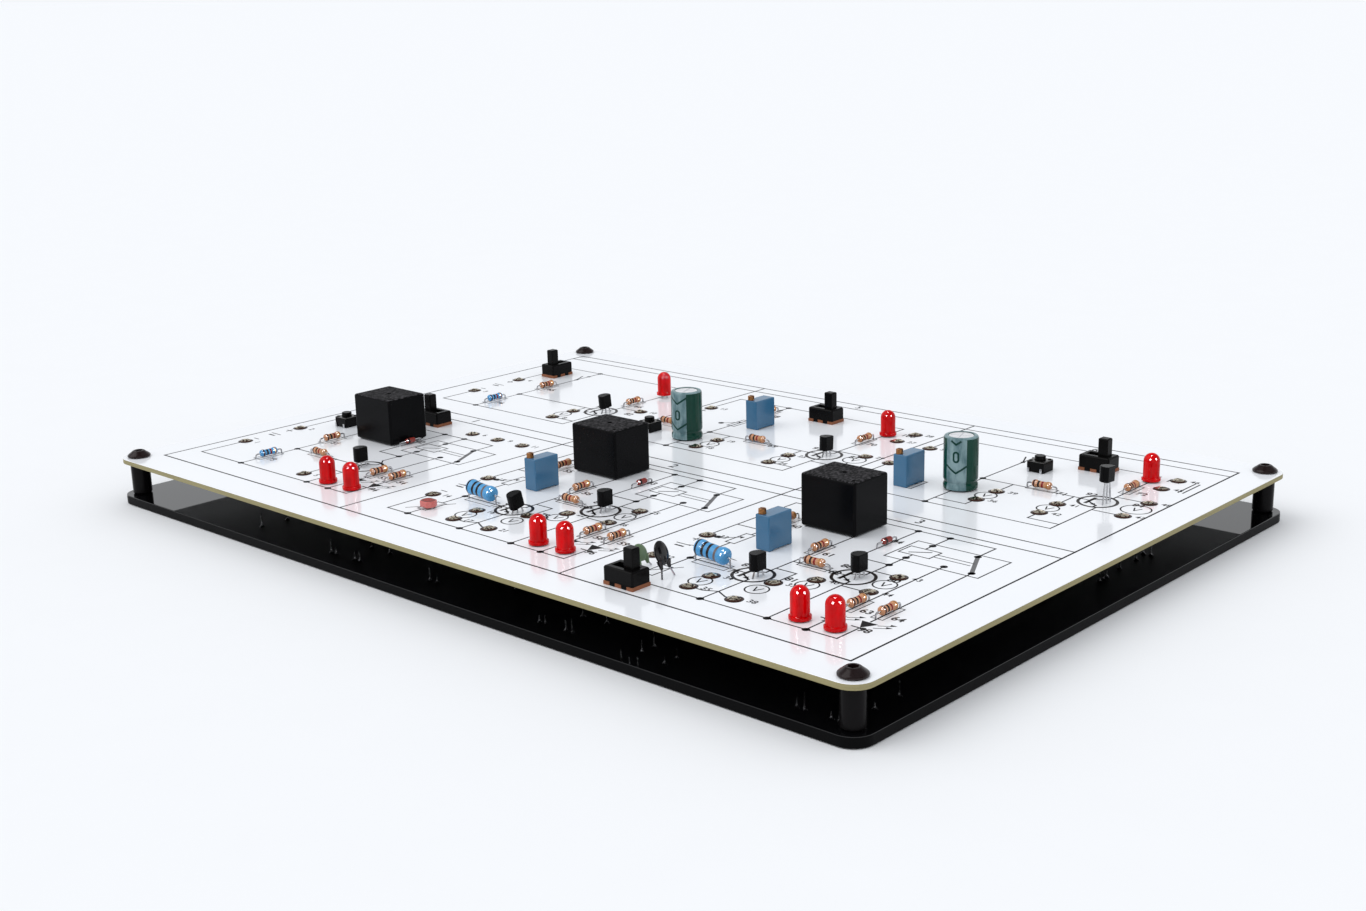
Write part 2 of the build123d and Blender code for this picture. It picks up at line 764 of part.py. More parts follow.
def make_on_delay_circuit():
    """Back right: timing capacitor with trimmer, push-button and slide switch."""
    name = "back_right"
    add_slide_switch(name, 56.0, 61.0, 1)
    add_push_button(name, 42.1, 49.3)
    add_trimmer(name, 18.2, 12.6)
    add_capacitor(name, 33.4, 18.0)
    add_resistor("brown_resistors", name, 53.3, 32.0, turn=0)
    add_resistor("brown_resistors", name, 74.7, 47.4)
    add_transistor(name, 75.7, 30.7, 6.7, lean=-3)
    add_led(name, 74.7, 59.5, 0.4)
    add_test_pads(
        name, (0, 50.2), (0, 27.7), (44.0, 21.5), (43.7, 11.0), (64.9, 21.5),
        (65.1, 11.0), (85.4, 38.2), (85.4, 22.7), (81.1, 64.7), (81.1, 54.0),
    )


def make_solder_joints():
    """The joints on the underside, a pointed mound of solder round each clipped lead."""
    mound = loft([Rectangle(joint_width, joint_width), Vertex(0, 0, -joint_height)])
    for foot in feet:
        add("solder_joints", Pos(foot.X, foot.Y, board_bottom) * mound)


make_base_and_board()
make_relay_circuit()
make_sensor_circuit("front_middle")
add_transistor("front_middle", 34.9, 20.9, 1.6, lean=14)
add_light_sensor("front_middle", 10.1, 7.6)
make_sensor_circuit("front_right")
add_transistor("front_right", 33.9, 21.8, 2.0)
add_slide_switch("front_right", 11.3, -4.0, 1)
add_thermistor("black_thermistor", "front_right", 15.9, 6.8, black_drop_height, black_drop_centre, -20)
add_thermistor("green_thermistor", "front_right", 5.6, 9.0, green_drop_height, green_drop_centre, -27)
make_transistor_circuit()
make_off_delay_circuit()
make_on_delay_circuit()
make_solder_joints()

os.makedirs("parts", exist_ok=True)
for node, solids in nodes.items():
    shape = solids[0] if len(solids) == 1 else Compound(children=solids)
    export_step(shape, f"parts/{node}.step")
    print(node, len(solids))
print(len(nodes), "sub-parts,", len(feet), "leads through the board")
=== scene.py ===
import json
import math

import bmesh
import bpy
from mathutils import Matrix, Vector

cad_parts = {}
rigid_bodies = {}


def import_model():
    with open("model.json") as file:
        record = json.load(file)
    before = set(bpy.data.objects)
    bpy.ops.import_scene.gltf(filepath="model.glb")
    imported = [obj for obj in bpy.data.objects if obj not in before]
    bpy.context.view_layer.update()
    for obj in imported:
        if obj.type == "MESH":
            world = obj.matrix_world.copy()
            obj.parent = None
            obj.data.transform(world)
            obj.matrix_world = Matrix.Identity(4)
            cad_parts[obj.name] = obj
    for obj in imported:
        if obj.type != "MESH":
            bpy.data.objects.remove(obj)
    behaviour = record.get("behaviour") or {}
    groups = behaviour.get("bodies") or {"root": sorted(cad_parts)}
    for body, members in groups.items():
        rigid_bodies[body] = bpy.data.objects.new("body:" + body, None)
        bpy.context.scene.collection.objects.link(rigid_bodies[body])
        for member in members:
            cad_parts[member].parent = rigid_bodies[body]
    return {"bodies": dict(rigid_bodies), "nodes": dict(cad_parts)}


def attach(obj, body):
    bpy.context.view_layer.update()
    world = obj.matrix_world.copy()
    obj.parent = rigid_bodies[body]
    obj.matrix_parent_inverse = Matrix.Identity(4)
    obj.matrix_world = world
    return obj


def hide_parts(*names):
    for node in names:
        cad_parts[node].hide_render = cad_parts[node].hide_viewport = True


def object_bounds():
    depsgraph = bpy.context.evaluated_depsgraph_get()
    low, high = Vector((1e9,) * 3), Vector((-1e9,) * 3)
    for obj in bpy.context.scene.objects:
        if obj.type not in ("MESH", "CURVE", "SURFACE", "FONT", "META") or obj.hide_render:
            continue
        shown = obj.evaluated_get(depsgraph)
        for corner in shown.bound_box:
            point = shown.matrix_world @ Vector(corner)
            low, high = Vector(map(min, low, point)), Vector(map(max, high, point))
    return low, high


# Looks of the electronics training board. Shapes are drawn in millimetres in the CAD frame and made
# metres when a piece is finished.
MM = 0.001
SHARP_ANGLE = math.radians(32)
BASE_TOP = 3.0
BOARD_BOTTOM = 14.0
BOARD_TOP = 15.6
CORNER_RADIUS = 6.0
FRAME_LEFT = -145.005
FRAME_FRONT = -98.8
BOARD_BODY = "board_unit"
ROUGHNESS_SPREAD = 0.08
RELIEF_HEIGHT = 0.0002
ROUNDING_STEPS = 8
BEND_STEPS = 4
FLAT_ANGLE = 0.02
CAD_WELD = 0.002
TURNED_WELD = 0.0005
INK_WELD = 0.0001

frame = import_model()
cad_low, cad_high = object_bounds()


# Shader maths

class Value:
    """A shader socket that can be added, multiplied and so on."""

    def __init__(self, finish, socket):
        self.finish = finish
        self.socket = socket

    def __add__(self, other):
        return self.finish.maths("ADD", self, other)

    def __radd__(self, other):
        return self.finish.maths("ADD", other, self)

    def __sub__(self, other):
        return self.finish.maths("SUBTRACT", self, other)

    def __rsub__(self, other):
        return self.finish.maths("SUBTRACT", other, self)

    def __mul__(self, other):
        return self.finish.maths("MULTIPLY", self, other)

    def __rmul__(self, other):
        return self.finish.maths("MULTIPLY", other, self)

    def __gt__(self, other):
        return self.finish.maths("GREATER_THAN", self, other)


class Finish:
    """A procedural material, put together node by node."""

    kind = "materials"
    coordinates = "Object"
    end = "ShaderNodeOutputMaterial"

    def __init__(self, name):
        self.material = getattr(bpy.data, self.kind).new(name)
        self.material.use_nodes = True
        self.tree = self.material.node_tree
        self.tree.nodes.clear()
        self.position = self.node("ShaderNodeTexCoord", {}, {}, self.coordinates)

    def node(self, kind, settings, sockets, output=0):
        """Makes a node: its settings first, then its sockets; gives back one output."""
        made = self.tree.nodes.new(kind)
        for key, setting in settings.items():
            setattr(made, key, setting)
        for key, value in sockets.items():
            if isinstance(value, Value):
                self.tree.links.new(value.socket, made.inputs[key])
            else:
                made.inputs[key].default_value = value
        return Value(self, made.outputs[output])

    def maths(self, operation, first, second):
        return self.node("ShaderNodeMath", {"operation": operation}, {0: first, 1: second})

    def noise(self, scale, detail, stretch=(1, 1, 1)):
        """Noise from 0 to 1; scale counts features in a metre, stretch multiplies it along each axis."""
        place = self.node("ShaderNodeVectorMath", {"operation": "MULTIPLY"}, {0: self.position, 1: stretch})
        return self.node("ShaderNodeTexNoise", {}, {"Vector": place, "Scale": scale, "Detail": detail}, "Fac")

    def specks(self, scale, size):
        """1 inside scattered small specks, 0 elsewhere."""
        near = self.node("ShaderNodeTexVoronoi", {}, {"Vector": self.position, "Scale": scale}, "Distance")
        return self.maths("LESS_THAN", near, size)

    def blend(self, factor, first, second):
        """Colour between two colours."""
        settings = {"data_type": "RGBA", "clamp_factor": True}
        return self.node("ShaderNodeMix", settings, {0: factor, 6: first, 7: second}, 2)

    def done(self, tone, rough, height, depth, shine=0.5, metallic=0.0, coat=0.0):
        """Closes the material; height is the relief and depth its strength."""
        relief = {"Strength": depth, "Distance": RELIEF_HEIGHT, "Height": height}
        return self.closed(self.node("ShaderNodeBsdfPrincipled", {}, {
            "Base Color": tone,
            "Roughness": rough,
            "Specular IOR Level": shine,
            "Metallic": metallic,
            "Coat Weight": coat,
            "Normal": self.node("ShaderNodeBump", {}, relief),
        }))

    def closed(self, shader):
        """Links the shader to the output."""
        end = self.tree.nodes.new(self.end)
        self.tree.links.new(shader.socket, end.inputs["Surface"])
        return self.material


class Sky(Finish):
    """The studio's surroundings, put together like a material."""

    kind = "worlds"
    coordinates = "Generated"
    end = "ShaderNodeOutputWorld"


def rgb(red, green, blue):
    """Linear colour from levels of 0 to 255."""
    levels = []
    for part in (red, green, blue):
        share = part / 255
        levels.append(share / 12.92 if share <= 0.04045 else ((share + 0.055) / 1.055) ** 2.4)
    return (*levels, 1.0)


def surface(name, colour, worn, roughness, grain=1500, relief=0.1, shine=0.5, metallic=0.0):
    """Surface with broad tone changes, fine grain and wear towards a second colour."""
    finish = Finish(name)
    cloud = finish.noise(60, 4)
    fine = finish.noise(grain, 5)
    tone = finish.blend(cloud * 0.5 + fine * 0.5, rgb(*colour), rgb(*worn))
    rough = roughness + (cloud - 0.5) * ROUGHNESS_SPREAD + (fine - 0.5) * ROUGHNESS_SPREAD
    return finish.done(tone, rough, fine, relief, shine, metallic)


def metal(name, colour, worn, roughness, grain=900):
    """Bare metal with fine cast grain and duller patches."""
    finish = Finish(name)
    fine = finish.noise(grain, 5)
    patch = finish.noise(350, 3)
    tone = finish.blend(patch * 0.6 + fine * 0.4, rgb(*colour), rgb(*worn))
    rough = roughness + (patch - 0.5) * 0.15 + (fine - 0.5) * 0.1
    return finish.done(tone, rough, fine, 0.12, metallic=1.0)


def smoked_acrylic():
    """Glossy black sheet with faint dust and hairline waves."""
    finish = Finish("smoked_acrylic")
    dust = finish.specks(420, 0.05) * (finish.noise(25, 2) > 0.5)
    cloud = finish.noise(18, 3)
    tone = finish.blend(cloud * 0.6 + dust * 0.4, rgb(4, 4, 5), rgb(14, 14, 16))
    return finish.done(tone, 0.02 + cloud * 0.02 + dust * 0.2, finish.noise(12, 2), 0.02)


def white_lacquer():
    """White gloss lacquer with slight unevenness and a few pale specks."""
    finish = Finish("white_lacquer")
    cloud = finish.noise(30, 4)
    specks = finish.specks(260, 0.035) * (finish.noise(40, 2) > 0.56)
    tone = finish.blend(cloud, rgb(251, 252, 255), rgb(245, 248, 253))
    tone = finish.blend(specks * 0.35, tone, rgb(196, 198, 202))
    return finish.done(tone, 0.1 + cloud * 0.08 + specks * 0.2, finish.noise(900, 2), 0.02, coat=0.3)


def dark_lacquer():
    """Very dark green lacquer over broad copper areas."""
    finish = Finish("dark_lacquer")
    copper = (finish.noise(160, 1, (1, 0.35, 1)) - 0.5) * 40
    fine = finish.noise(1500, 3)
    tone = finish.blend(copper, rgb(8, 14, 10), rgb(16, 26, 18))
    return finish.done(tone, 0.3 + fine * 0.15, fine, 0.1, shine=0.3)


def board_edge():
    """Sawn glass-fibre edge in layers."""
    finish = Finish("glass_fibre_edge")
    layers = finish.noise(1200, 4, (0.05, 0.05, 3))
    fine = finish.noise(2500, 4)
    tone = finish.blend(layers * 0.6 + fine * 0.4, rgb(172, 162, 118), rgb(120, 112, 74))
    return finish.done(tone, 0.55 + layers * 0.2, fine, 0.3)


def relay_top():
    """Fine spark-eroded grain, dark grey against black."""
    finish = Finish("grained_relay_plastic")
    grain = finish.noise(1500, 5, (1, 0.6, 1))
    pits = finish.noise(4200, 4)
    mottle = (grain * 0.7 + pits * 0.3 - 0.5) * 10 + 0.25
    tone = finish.blend(mottle, rgb(8, 8, 9), rgb(66, 64, 67))
    return finish.done(tone, 0.58 + pits * 0.15, grain, 0.5, shine=0.08)


def red_lens():
    """Deep red plastic with a random cloudy tone and vertical streaks of painted internal reflection, with a
    glossy skin.
    """
    finish = Finish("red_lens")
    cloud = finish.noise(240, 3)
    # Painted reflection: upright streaks of lighter and darker red running down the lens.
    painted_reflection_streak = finish.noise(700, 2, (1, 1, 0.06))
    cloud_and_painted_streaks = (cloud * 0.4 + painted_reflection_streak * 0.6 - 0.5) * 2.4 + 0.4
    tone = finish.blend(cloud_and_painted_streaks, rgb(230, 2, 10), rgb(158, 0, 3))
    return finish.done(tone, 0.04 + cloud * 0.03, finish.noise(90, 2), 0.02, shine=0.17)


def sleeve_stripe():
    """Pale print on the capacitor sleeve, mottled lighter and darker in streaks as painted highlights; it
    also gives the lip its painted highlight.
    """
    finish = Finish("sleeve_stripe")
    # Painted highlights: this mottle lightens and darkens the print in streaks up the sleeve.
    painted_highlight_mottle = finish.noise(420, 4, (1, 1, 0.4))
    fine = finish.noise(1700, 4)
    tone = finish.blend((painted_highlight_mottle - 0.5) * 4 + 0.5, rgb(82, 114, 120), rgb(136, 162, 166))
    return finish.done(tone, 0.2 + fine * 0.1, fine, 0.1, shine=0.4)


def solder(name, bright, dark):
    """Wrinkled solder whose folds carry dark patches of painted shade and painted dark reflection."""
    finish = Finish(name)
    folds = finish.noise(1300, 4)
    fine = finish.noise(3000, 3)
    # Painted shade and reflection: the fold mask swings the metal colour hard from bright to dark brown.
    tone = finish.blend((folds - 0.5) * 12 + 0.3, rgb(*bright), rgb(*dark))
    return finish.done(tone, 0.16 + fine * 0.14, folds * 0.7 + fine * 0.3, 0.6, metallic=1.0)


# Every finish, by its plain name
finishes = {
    "smoked acrylic": smoked_acrylic(),
    "acrylic edge": surface("sawn_acrylic_edge", (4, 4, 5), (12, 12, 13), 0.34, 1800, 0.2, shine=0.05),
    "white lacquer": white_lacquer(),
    "board edge": board_edge(),
    "dark lacquer": dark_lacquer(),
    "black steel": surface(
        "blackened_steel", (20, 12, 13), (44, 30, 30), 0.22, 1400, 0.15, shine=0.3, metallic=0.15,
    ),
    "black nylon": surface("black_nylon", (9, 8, 9), (20, 18, 19), 0.24, 900, 0.1, shine=0.08),
    "relay side": surface("relay_plastic", (5, 5, 6), (13, 13, 15), 0.22, 1700, 0.08, shine=0.06),
    "relay top": relay_top(),
    "button plate": metal("button_plate", (132, 130, 128), (84, 82, 80), 0.34),
    "switch black": surface("switch_plastic", (6, 5, 5), (15, 14, 14), 0.24, 1600, 0.1, shine=0.08),
    "phenolic": surface("phenolic_board", (162, 105, 76), (118, 74, 53), 0.42, 2100, 0.3, shine=0.1),
    "tinned steel": metal("tinned_steel", (222, 222, 224), (160, 160, 164), 0.26),
    "trimmer blue": surface("trimmer_blue", (54, 109, 146), (50, 102, 139), 0.2, 1900, 0.02, shine=0.6),
    "brass": metal("brass", (206, 146, 92), (112, 68, 36), 0.4, 600),
    "red lens": red_lens(),
    "black epoxy": surface("black_epoxy", (4, 4, 5), (13, 13, 14), 0.26, 2300, 0.2, shine=0.07),
    "can metal": surface("can_aluminium", (250, 250, 252), (222, 223, 226), 0.3, 700, 0.15, metallic=0.35),
    "green sleeve": surface("green_sleeve", (10, 68, 54), (6, 52, 42), 0.2, 700, 0.06, shine=0.25),
    # Pale sleeve print with painted highlights, also the painted highlight on top of the lip.
    "sleeve stripe with painted highlights": sleeve_stripe(),
    "rubber": surface("bung_rubber", (26, 25, 25), (44, 43, 42), 0.7, 1200, 0.3),
    "sensor coat": surface("sensor_coat", (222, 132, 126), (196, 84, 80), 0.16, 1100, 0.1),
    "sensor face": surface("sensor_face", (92, 40, 38), (126, 58, 52), 0.3, 1500, 0.15, shine=0.2),
    "sensor track": surface("sensor_track", (214, 54, 36), (178, 40, 28), 0.35, 1500, 0.15, shine=0.2),
    "green epoxy": surface("green_epoxy", (108, 132, 98), (84, 106, 76), 0.34, 1100, 0.15),
    "glossy black": surface("glossy_black_drop", (12, 12, 13), (24, 24, 26), 0.12, 500, 0.05),
    "tan enamel": surface("tan_enamel", (214, 160, 120), (182, 120, 82), 0.2, 1300, 0.1, shine=0.35),
    "blue enamel": surface("blue_enamel", (92, 172, 222), (64, 142, 202), 0.2, 1300, 0.1, shine=0.4),
    "band red": surface("band_red", (150, 20, 20), (112, 12, 14), 0.26, shine=0.3),
    "band brown": surface("band_brown", (76, 30, 20), (50, 20, 14), 0.26, shine=0.3),
    "band black": surface("band_black", (16, 11, 12), (32, 23, 23), 0.26, shine=0.2),
    "band grey": surface("band_grey", (112, 98, 96), (84, 72, 72), 0.3),
    "band gold": surface("band_gold", (186, 130, 58), (146, 92, 36), 0.3, metallic=0.25),
    "diode glass": surface("diode_glass", (166, 48, 34), (98, 22, 18), 0.08, 400, 0.04, shine=0.6),
    "solder": solder("solder", (240, 240, 242), (58, 44, 40)),
    "pad solder": solder("pad_solder", (252, 240, 214), (60, 36, 26)),
    "pad rim": surface("flux_stained_rim", (36, 20, 14), (78, 46, 30), 0.2, 1500, 0.3),
    "ink": surface("grey_ink", (22, 20, 22), (48, 46, 48), 0.45, 2600, 0.1, shine=0.04),
    "pale ink": surface("pale_ink", (104, 104, 106), (126, 126, 128), 0.45, 2600, 0.1, shine=0.04),
    "black ink": surface("black_ink", (14, 11, 11), (40, 28, 24), 0.3, 2600, 0.1, shine=0.1),
    # Dark sleeve print, also used as painted shade on the inner edge of the lip.
    "sleeve ink and painted lip shade": surface("sleeve_ink", (6, 50, 44), (14, 64, 56), 0.34, 2000, 0.1, shine=0.2),
}


# Shapes, each a new small mesh in millimetres

def moved(part, x, y, z):
    """The part, shifted."""
    bmesh.ops.translate(part, vec=(x, y, z), verts=part.verts)
    return part


def box(low, high, edge=0.0, segments=2):
    """Box between two corners, its edges rounded."""
    part = bmesh.new()
    low, high = Vector(low), Vector(high)
    bmesh.ops.create_cube(part, size=1)
    bmesh.ops.scale(part, vec=high - low, verts=part.verts)
    moved(part, *(low + high) / 2)
    if edge:
        round_edges(part, part.edges[:], edge, segments)
    return part


def round_edges(part, edges, width, segments=2):
    """Rounds some edges of a part."""
    bmesh.ops.bevel(
        part, geom=edges, offset=width, offset_type="OFFSET", segments=segments, profile=0.5,
        affect="EDGES", clamp_overlap=True, material=-1,
    )


def sharp_edges(part):
    """Edges between faces that meet at an angle."""
    return [edge for edge in part.edges if edge.calc_face_angle(0) > SHARP_ANGLE]


def made_of(kind, made):
    """The elements of one kind that an operator made."""
    return [item for item in made["geom"] if isinstance(item, kind)]


def spun(part, line, edges, steps):
    """Spins a line of points about Z, a full turn."""
    bmesh.ops.spin(
        part, geom=line + edges, cent=(0, 0, 0), axis=(0, 0, 1), angle=2 * math.pi, steps=steps,
        use_merge=True, use_duplicate=False,
    )


def turned(profile, steps=24, bands=()):
    """Solid turned about Z through points of radius and height; bands give faces a material index."""
    part = bmesh.new()
    if profile[0][0] > 0:
        profile = [(0, profile[0][1]), *profile]
    if profile[-1][0] > 0:
        profile = [*profile, (0, profile[-1][1])]
    line = [part.verts.new((radius, 0, height)) for radius, height in profile]
    edges = [part.edges.new(pair) for pair in zip(line, line[1:])]
    spun(part, line, edges, steps)
    bmesh.ops.remove_doubles(part, verts=part.verts, dist=TURNED_WELD)
    for face in part.faces:
        height = face.calc_center_median().z
        for low, high, index in bands:
            if low <= height <= high:
                face.material_index = index
    return part


def prism(outline, low, high, edge=0.0, segments=2):
    """Upright prism of a level outline, its edges rounded."""
    part = bmesh.new()
    face = part.faces.new([part.verts.new((x, y, low)) for x, y in outline])
    made = bmesh.ops.extrude_face_region(part, geom=[face])
    bmesh.ops.translate(part, vec=(0, 0, high - low), verts=made_of(bmesh.types.BMVert, made))
    bmesh.ops.recalc_face_normals(part, faces=part.faces)
    if edge:
        round_edges(part, sharp_edges(part), edge, segments)
    return part


def tube(points, diameter, sides=8):
    """Round wire through points, mitred at its bends and closed at both ends."""
    part = bmesh.new()
    points = [Vector(point) for point in points]
    ways = [(after - before).normalized() for before, after in zip(points, points[1:])]
    ring = bmesh.ops.create_circle(part, cap_ends=True, radius=diameter / 2, segments=sides)["verts"]
    turn = Vector((0, 0, 1)).rotation_difference(ways[0]).to_matrix().to_4x4()
    bmesh.ops.transform(part, matrix=Matrix.Translation(points[0]) @ turn, verts=ring)
    faces = part.faces[:]
    for i, point in enumerate(points[1:], 1):
        way = ways[i] if i < len(ways) else ways[-1]
        mitre = (ways[i - 1] + way).normalized()
        made = bmesh.ops.extrude_face_region(part, geom=faces, use_keep_orig=i == 1)
        faces = made_of(bmesh.types.BMFace, made)
        for vert in made_of(bmesh.types.BMVert, made):
            step = (point - vert.co).dot(mitre) / ways[i - 1].dot(mitre)
            vert.co += ways[i - 1] * step
    return part


def rounded_path(points, radius):
    """The same path with its inner corners replaced by short arcs."""
    points = [Vector(point) for point in points]
    path = [points[0]]
    for before, corner, after in zip(points, points[1:], points[2:]):
        start = corner + (before - corner).normalized() * radius
        end = corner + (after - corner).normalized() * radius
        for i in range(BEND_STEPS + 1):
            share = i / BEND_STEPS
            path.append(start.lerp(corner, share).lerp(corner.lerp(end, share), share))
    path.append(points[-1])
    return path


def arc(centre, radius, start, end, count):
    """Points of an arc, angles in degrees."""
    points = []
    for i in range(count + 1):
        angle = math.radians(start + (end - start) * i / count)
        points.append((centre[0] + radius * math.cos(angle), centre[1] + radius * math.sin(angle)))
    return points


def rounded_rectangle(half_x, half_y, radius):
    """Outline of a rectangle with round corners about the origin."""
    outline = []
    for turn, (side_x, side_y) in enumerate([(1, 1), (-1, 1), (-1, -1), (1, -1)]):
        centre = (side_x * (half_x - radius), side_y * (half_y - radius))
        outline += arc(centre, radius, 90 * turn, 90 * turn + 90, ROUNDING_STEPS)
    return outline


def in_scene(name, data):
    """A new object of the scene."""
    made = bpy.data.objects.new(name, data)
    bpy.context.scene.collection.objects.link(made)
    return made


def as_object(name, part, *materials):
    """A part as an object of the scene."""
    mesh = bpy.data.meshes.new(name)
    part.to_mesh(mesh)
    part.free()
    for material in materials:
        mesh.materials.append(material)
    return in_scene(name, mesh)


def carved(part, *cutters):
    """The part less the cutters."""
    bmesh.ops.recalc_face_normals(part, faces=part.faces)
    target = as_object("cutting", part)
    tools = []
    for cutter in cutters:
        bmesh.ops.recalc_face_normals(cutter, faces=cutter.faces)
        tools.append(as_object("cutting", cutter))
        cut = target.modifiers.new("cut", "BOOLEAN")
        cut.operation = "DIFFERENCE"
        cut.solver = "EXACT"
        cut.object = tools[-1]
    bpy.context.view_layer.update()
    evaluated = target.evaluated_get(bpy.context.evaluated_depsgraph_get())
    result = bmesh.new()
    result.from_mesh(evaluated.to_mesh())
    evaluated.to_mesh_clear()
    for item in [target, *tools]:
        mesh = item.data
        bpy.data.objects.remove(item)
        bpy.data.meshes.remove(mesh)
    return result


def at(x=0, y=0, z=0, turn=0, axis="Z"):
    """Place with a turn in degrees about one axis."""
    return Matrix.Translation((x, y, z)) @ Matrix.Rotation(math.radians(turn), 4, axis)


class Piece:
    """One mesh being put together for one CAD body."""

    def __init__(self, *names):
        self.names = list(names)
        self.mesh = bmesh.new()

    def add(self, part, material=None, place=None):
        """Puts a part at its place; without a material its faces keep their own indices."""
        bmesh.ops.recalc_face_normals(part, faces=part.faces)
        if place is not None:
            bmesh.ops.transform(part, matrix=place, verts=part.verts)
        for face in part.faces:
            face.smooth = True
            if material is not None:
                face.material_index = self.names.index(material)
        store = bpy.data.meshes.new("part")
        part.to_mesh(store)
        part.free()
        self.mesh.from_mesh(store)
        bpy.data.meshes.remove(store)

    def finish(self, name, body, *replaced, slot):
        """Makes the mesh an object at the origin that rides on its body."""
        bmesh.ops.scale(self.mesh, vec=(MM, MM, MM), verts=self.mesh.verts)
        mesh = bpy.data.meshes.new(name)
        self.mesh.to_mesh(mesh)
        self.mesh.free()
        mesh.set_sharp_from_angle(angle=SHARP_ANGLE)
        for material in self.names:
            mesh.materials.append(finishes[material])
        made = in_scene(name, mesh)
        flat = made.modifiers.new("flat_faces", "WEIGHTED_NORMAL")
        flat.keep_sharp = True
        flat.weight = 80
        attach(made, body)
        if replaced:
            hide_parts(*replaced)


# Places, read from the CAD nodes

def merged(node):
    """The CAD node's mesh in millimetres, its loose triangles joined."""
    part = bmesh.new()
    part.from_mesh(frame["nodes"][node].data)
    bmesh.ops.scale(part, vec=(1 / MM, 1 / MM, 1 / MM), verts=part.verts)
    bmesh.ops.remove_doubles(part, verts=part.verts, dist=CAD_WELD)
    return part


def solids(node):
    """Corner points of each separate solid of a CAD node."""
    part = merged(node)
    seen = set()
    found = []
    for first in part.verts:
        if first in seen:
            continue
        seen.add(first)
        waiting = [first]
        points = []
        while waiting:
            vert = waiting.pop()
            points.append(vert.co.copy())
            for edge in vert.link_edges:
                other = edge.other_vert(vert)
                if other not in seen:
                    seen.add(other)
                    waiting.append(other)
        found.append(points)
    part.free()
    return found


def span(points):
    """Lowest and highest corner of some points."""
    low = Vector([min(point[i] for point in points) for i in range(3)])
    high = Vector([max(point[i] for point in points) for i in range(3)])
    return low, high


def middle(points):
    """Centre of some points' box."""
    low, high = span(points)
    return (low + high) / 2


def ends(points):
    """Centres of the lower and the upper end of an upright solid."""
    ordered = sorted(points, key=lambda point: point.z)
    half = len(ordered) // 2
    lower = sum(ordered[:half], Vector()) / half
    upper = sum(ordered[-half:], Vector()) / half
    return lower, upper


def refined(node, edge, segments=2):
    """The CAD node's own form with its edges rounded."""
    part = merged(node)
    bmesh.ops.dissolve_limit(part, angle_limit=FLAT_ANGLE, verts=part.verts, edges=part.edges)
    round_edges(part, sharp_edges(part), edge, segments)
    return part


def body_of(node):
    """The body a CAD node rides on."""
    return node if node in frame["bodies"] else BOARD_BODY


def show(part, material, name, node, slot, place=None):
    """Puts one part of one material in place of a CAD node."""
    piece = Piece(material)
    piece.add(part, material, place)
    piece.finish(name, body_of(node), node, slot=slot)


def show_refined(node, material, edge, slot, segments=2):
    """Puts the rounded form of a CAD node in its place."""
    show(refined(node, edge, segments), material, node + "_look", node, slot)


# Board, base and what holds them

def make_plates():
    """Base plate and circuit board with their rounded corners and slightly broken edges."""
    half = (cad_high - cad_low) / 2 / MM
    outline = rounded_rectangle(half.x, half.y, CORNER_RADIUS)
    sinks = []
    for points in solids("base_screws"):
        centre = middle(points)
        sink = turned([(3.85, -0.5), (3.85, 0.02), (2.1, 1.8), (2.1, 2.6)], 32)
        sinks.append(moved(sink, centre.x, centre.y, 0))
    base = carved(prism(outline, 0, BASE_TOP, 0.2), *sinks)
    piece = Piece("smoked acrylic", "acrylic edge")
    for face in base.faces:
        face.material_index = 1 if abs(face.normal.z) < 0.3 else 0
    piece.add(base)
    piece.finish("glossy_base", BOARD_BODY, "base_plate", slot="smoked_acrylic")

    board = prism(outline, BOARD_BOTTOM, BOARD_TOP, 0.08, 1)
    piece = Piece("white lacquer", "board edge", "dark lacquer")
    for face in board.faces:
        face.material_index = 0 if face.normal.z > 0.3 else 1
        if face.normal.z < -0.9:
            face.material_index = 2
    piece.add(board)
    piece.finish("white_board", BOARD_BODY, "circuit_board", slot="white_board")


def screw_socket(bottom, top):
    """Hexagon hole of a screw, as a solid to cut with."""
    return prism(arc((0, 0), 1.44, 0, 300, 5), bottom, top)


def show_turned(node, name, material, slot, profile, foot, steps, socket=None):
    """Puts a turned part at each solid of a CAD node; socket is the height range of its hexagon hole."""
    piece = Piece(material)
    for points in solids(node):
        centre = middle(points)
        part = turned(profile, steps)
        if socket:
            part = carved(part, screw_socket(*socket))
        piece.add(part, material, at(centre.x, centre.y, foot))
    piece.finish(name, BOARD_BODY, node, slot=slot)


def make_fasteners():
    """Spacers, button-head screws and countersunk screws."""
    profile = [(2.3, 0), (2.85, 0.12), (3.15, 0.55), (3.15, 10.6), (3.0, 10.9), (2.6, 11)]
    show_turned("spacers", "black_spacers", "black nylon", "black_spacers", profile, BASE_TOP, 40)
    profile = [
        (3.3, 0), (3.62, 0.1), (3.78, 0.3), (3.8, 0.5), (3.72, 0.72), (3.3, 1.1), (2.6, 1.6), (2.1, 2.0),
        (1.86, 2.16), (1.6, 2.2),
    ]
    show_turned(
        "board_screws", "button_screws", "black steel", "black_screws", profile, BOARD_TOP, 48, (0.9, 3),
    )
    profile = [(3.55, 0.02), (3.7, 0.1), (3.7, 0.2), (2.0, 1.9), (2.0, 2.4)]
    show_turned(
        "base_screws", "countersunk_screws", "black steel", "black_screws", profile, 0, 48, (-1, 1.3),
    )


# Relays, switches, buttons and trimmers

RELAY_WALL = 0.9
RELAY_RECESS = 2.4


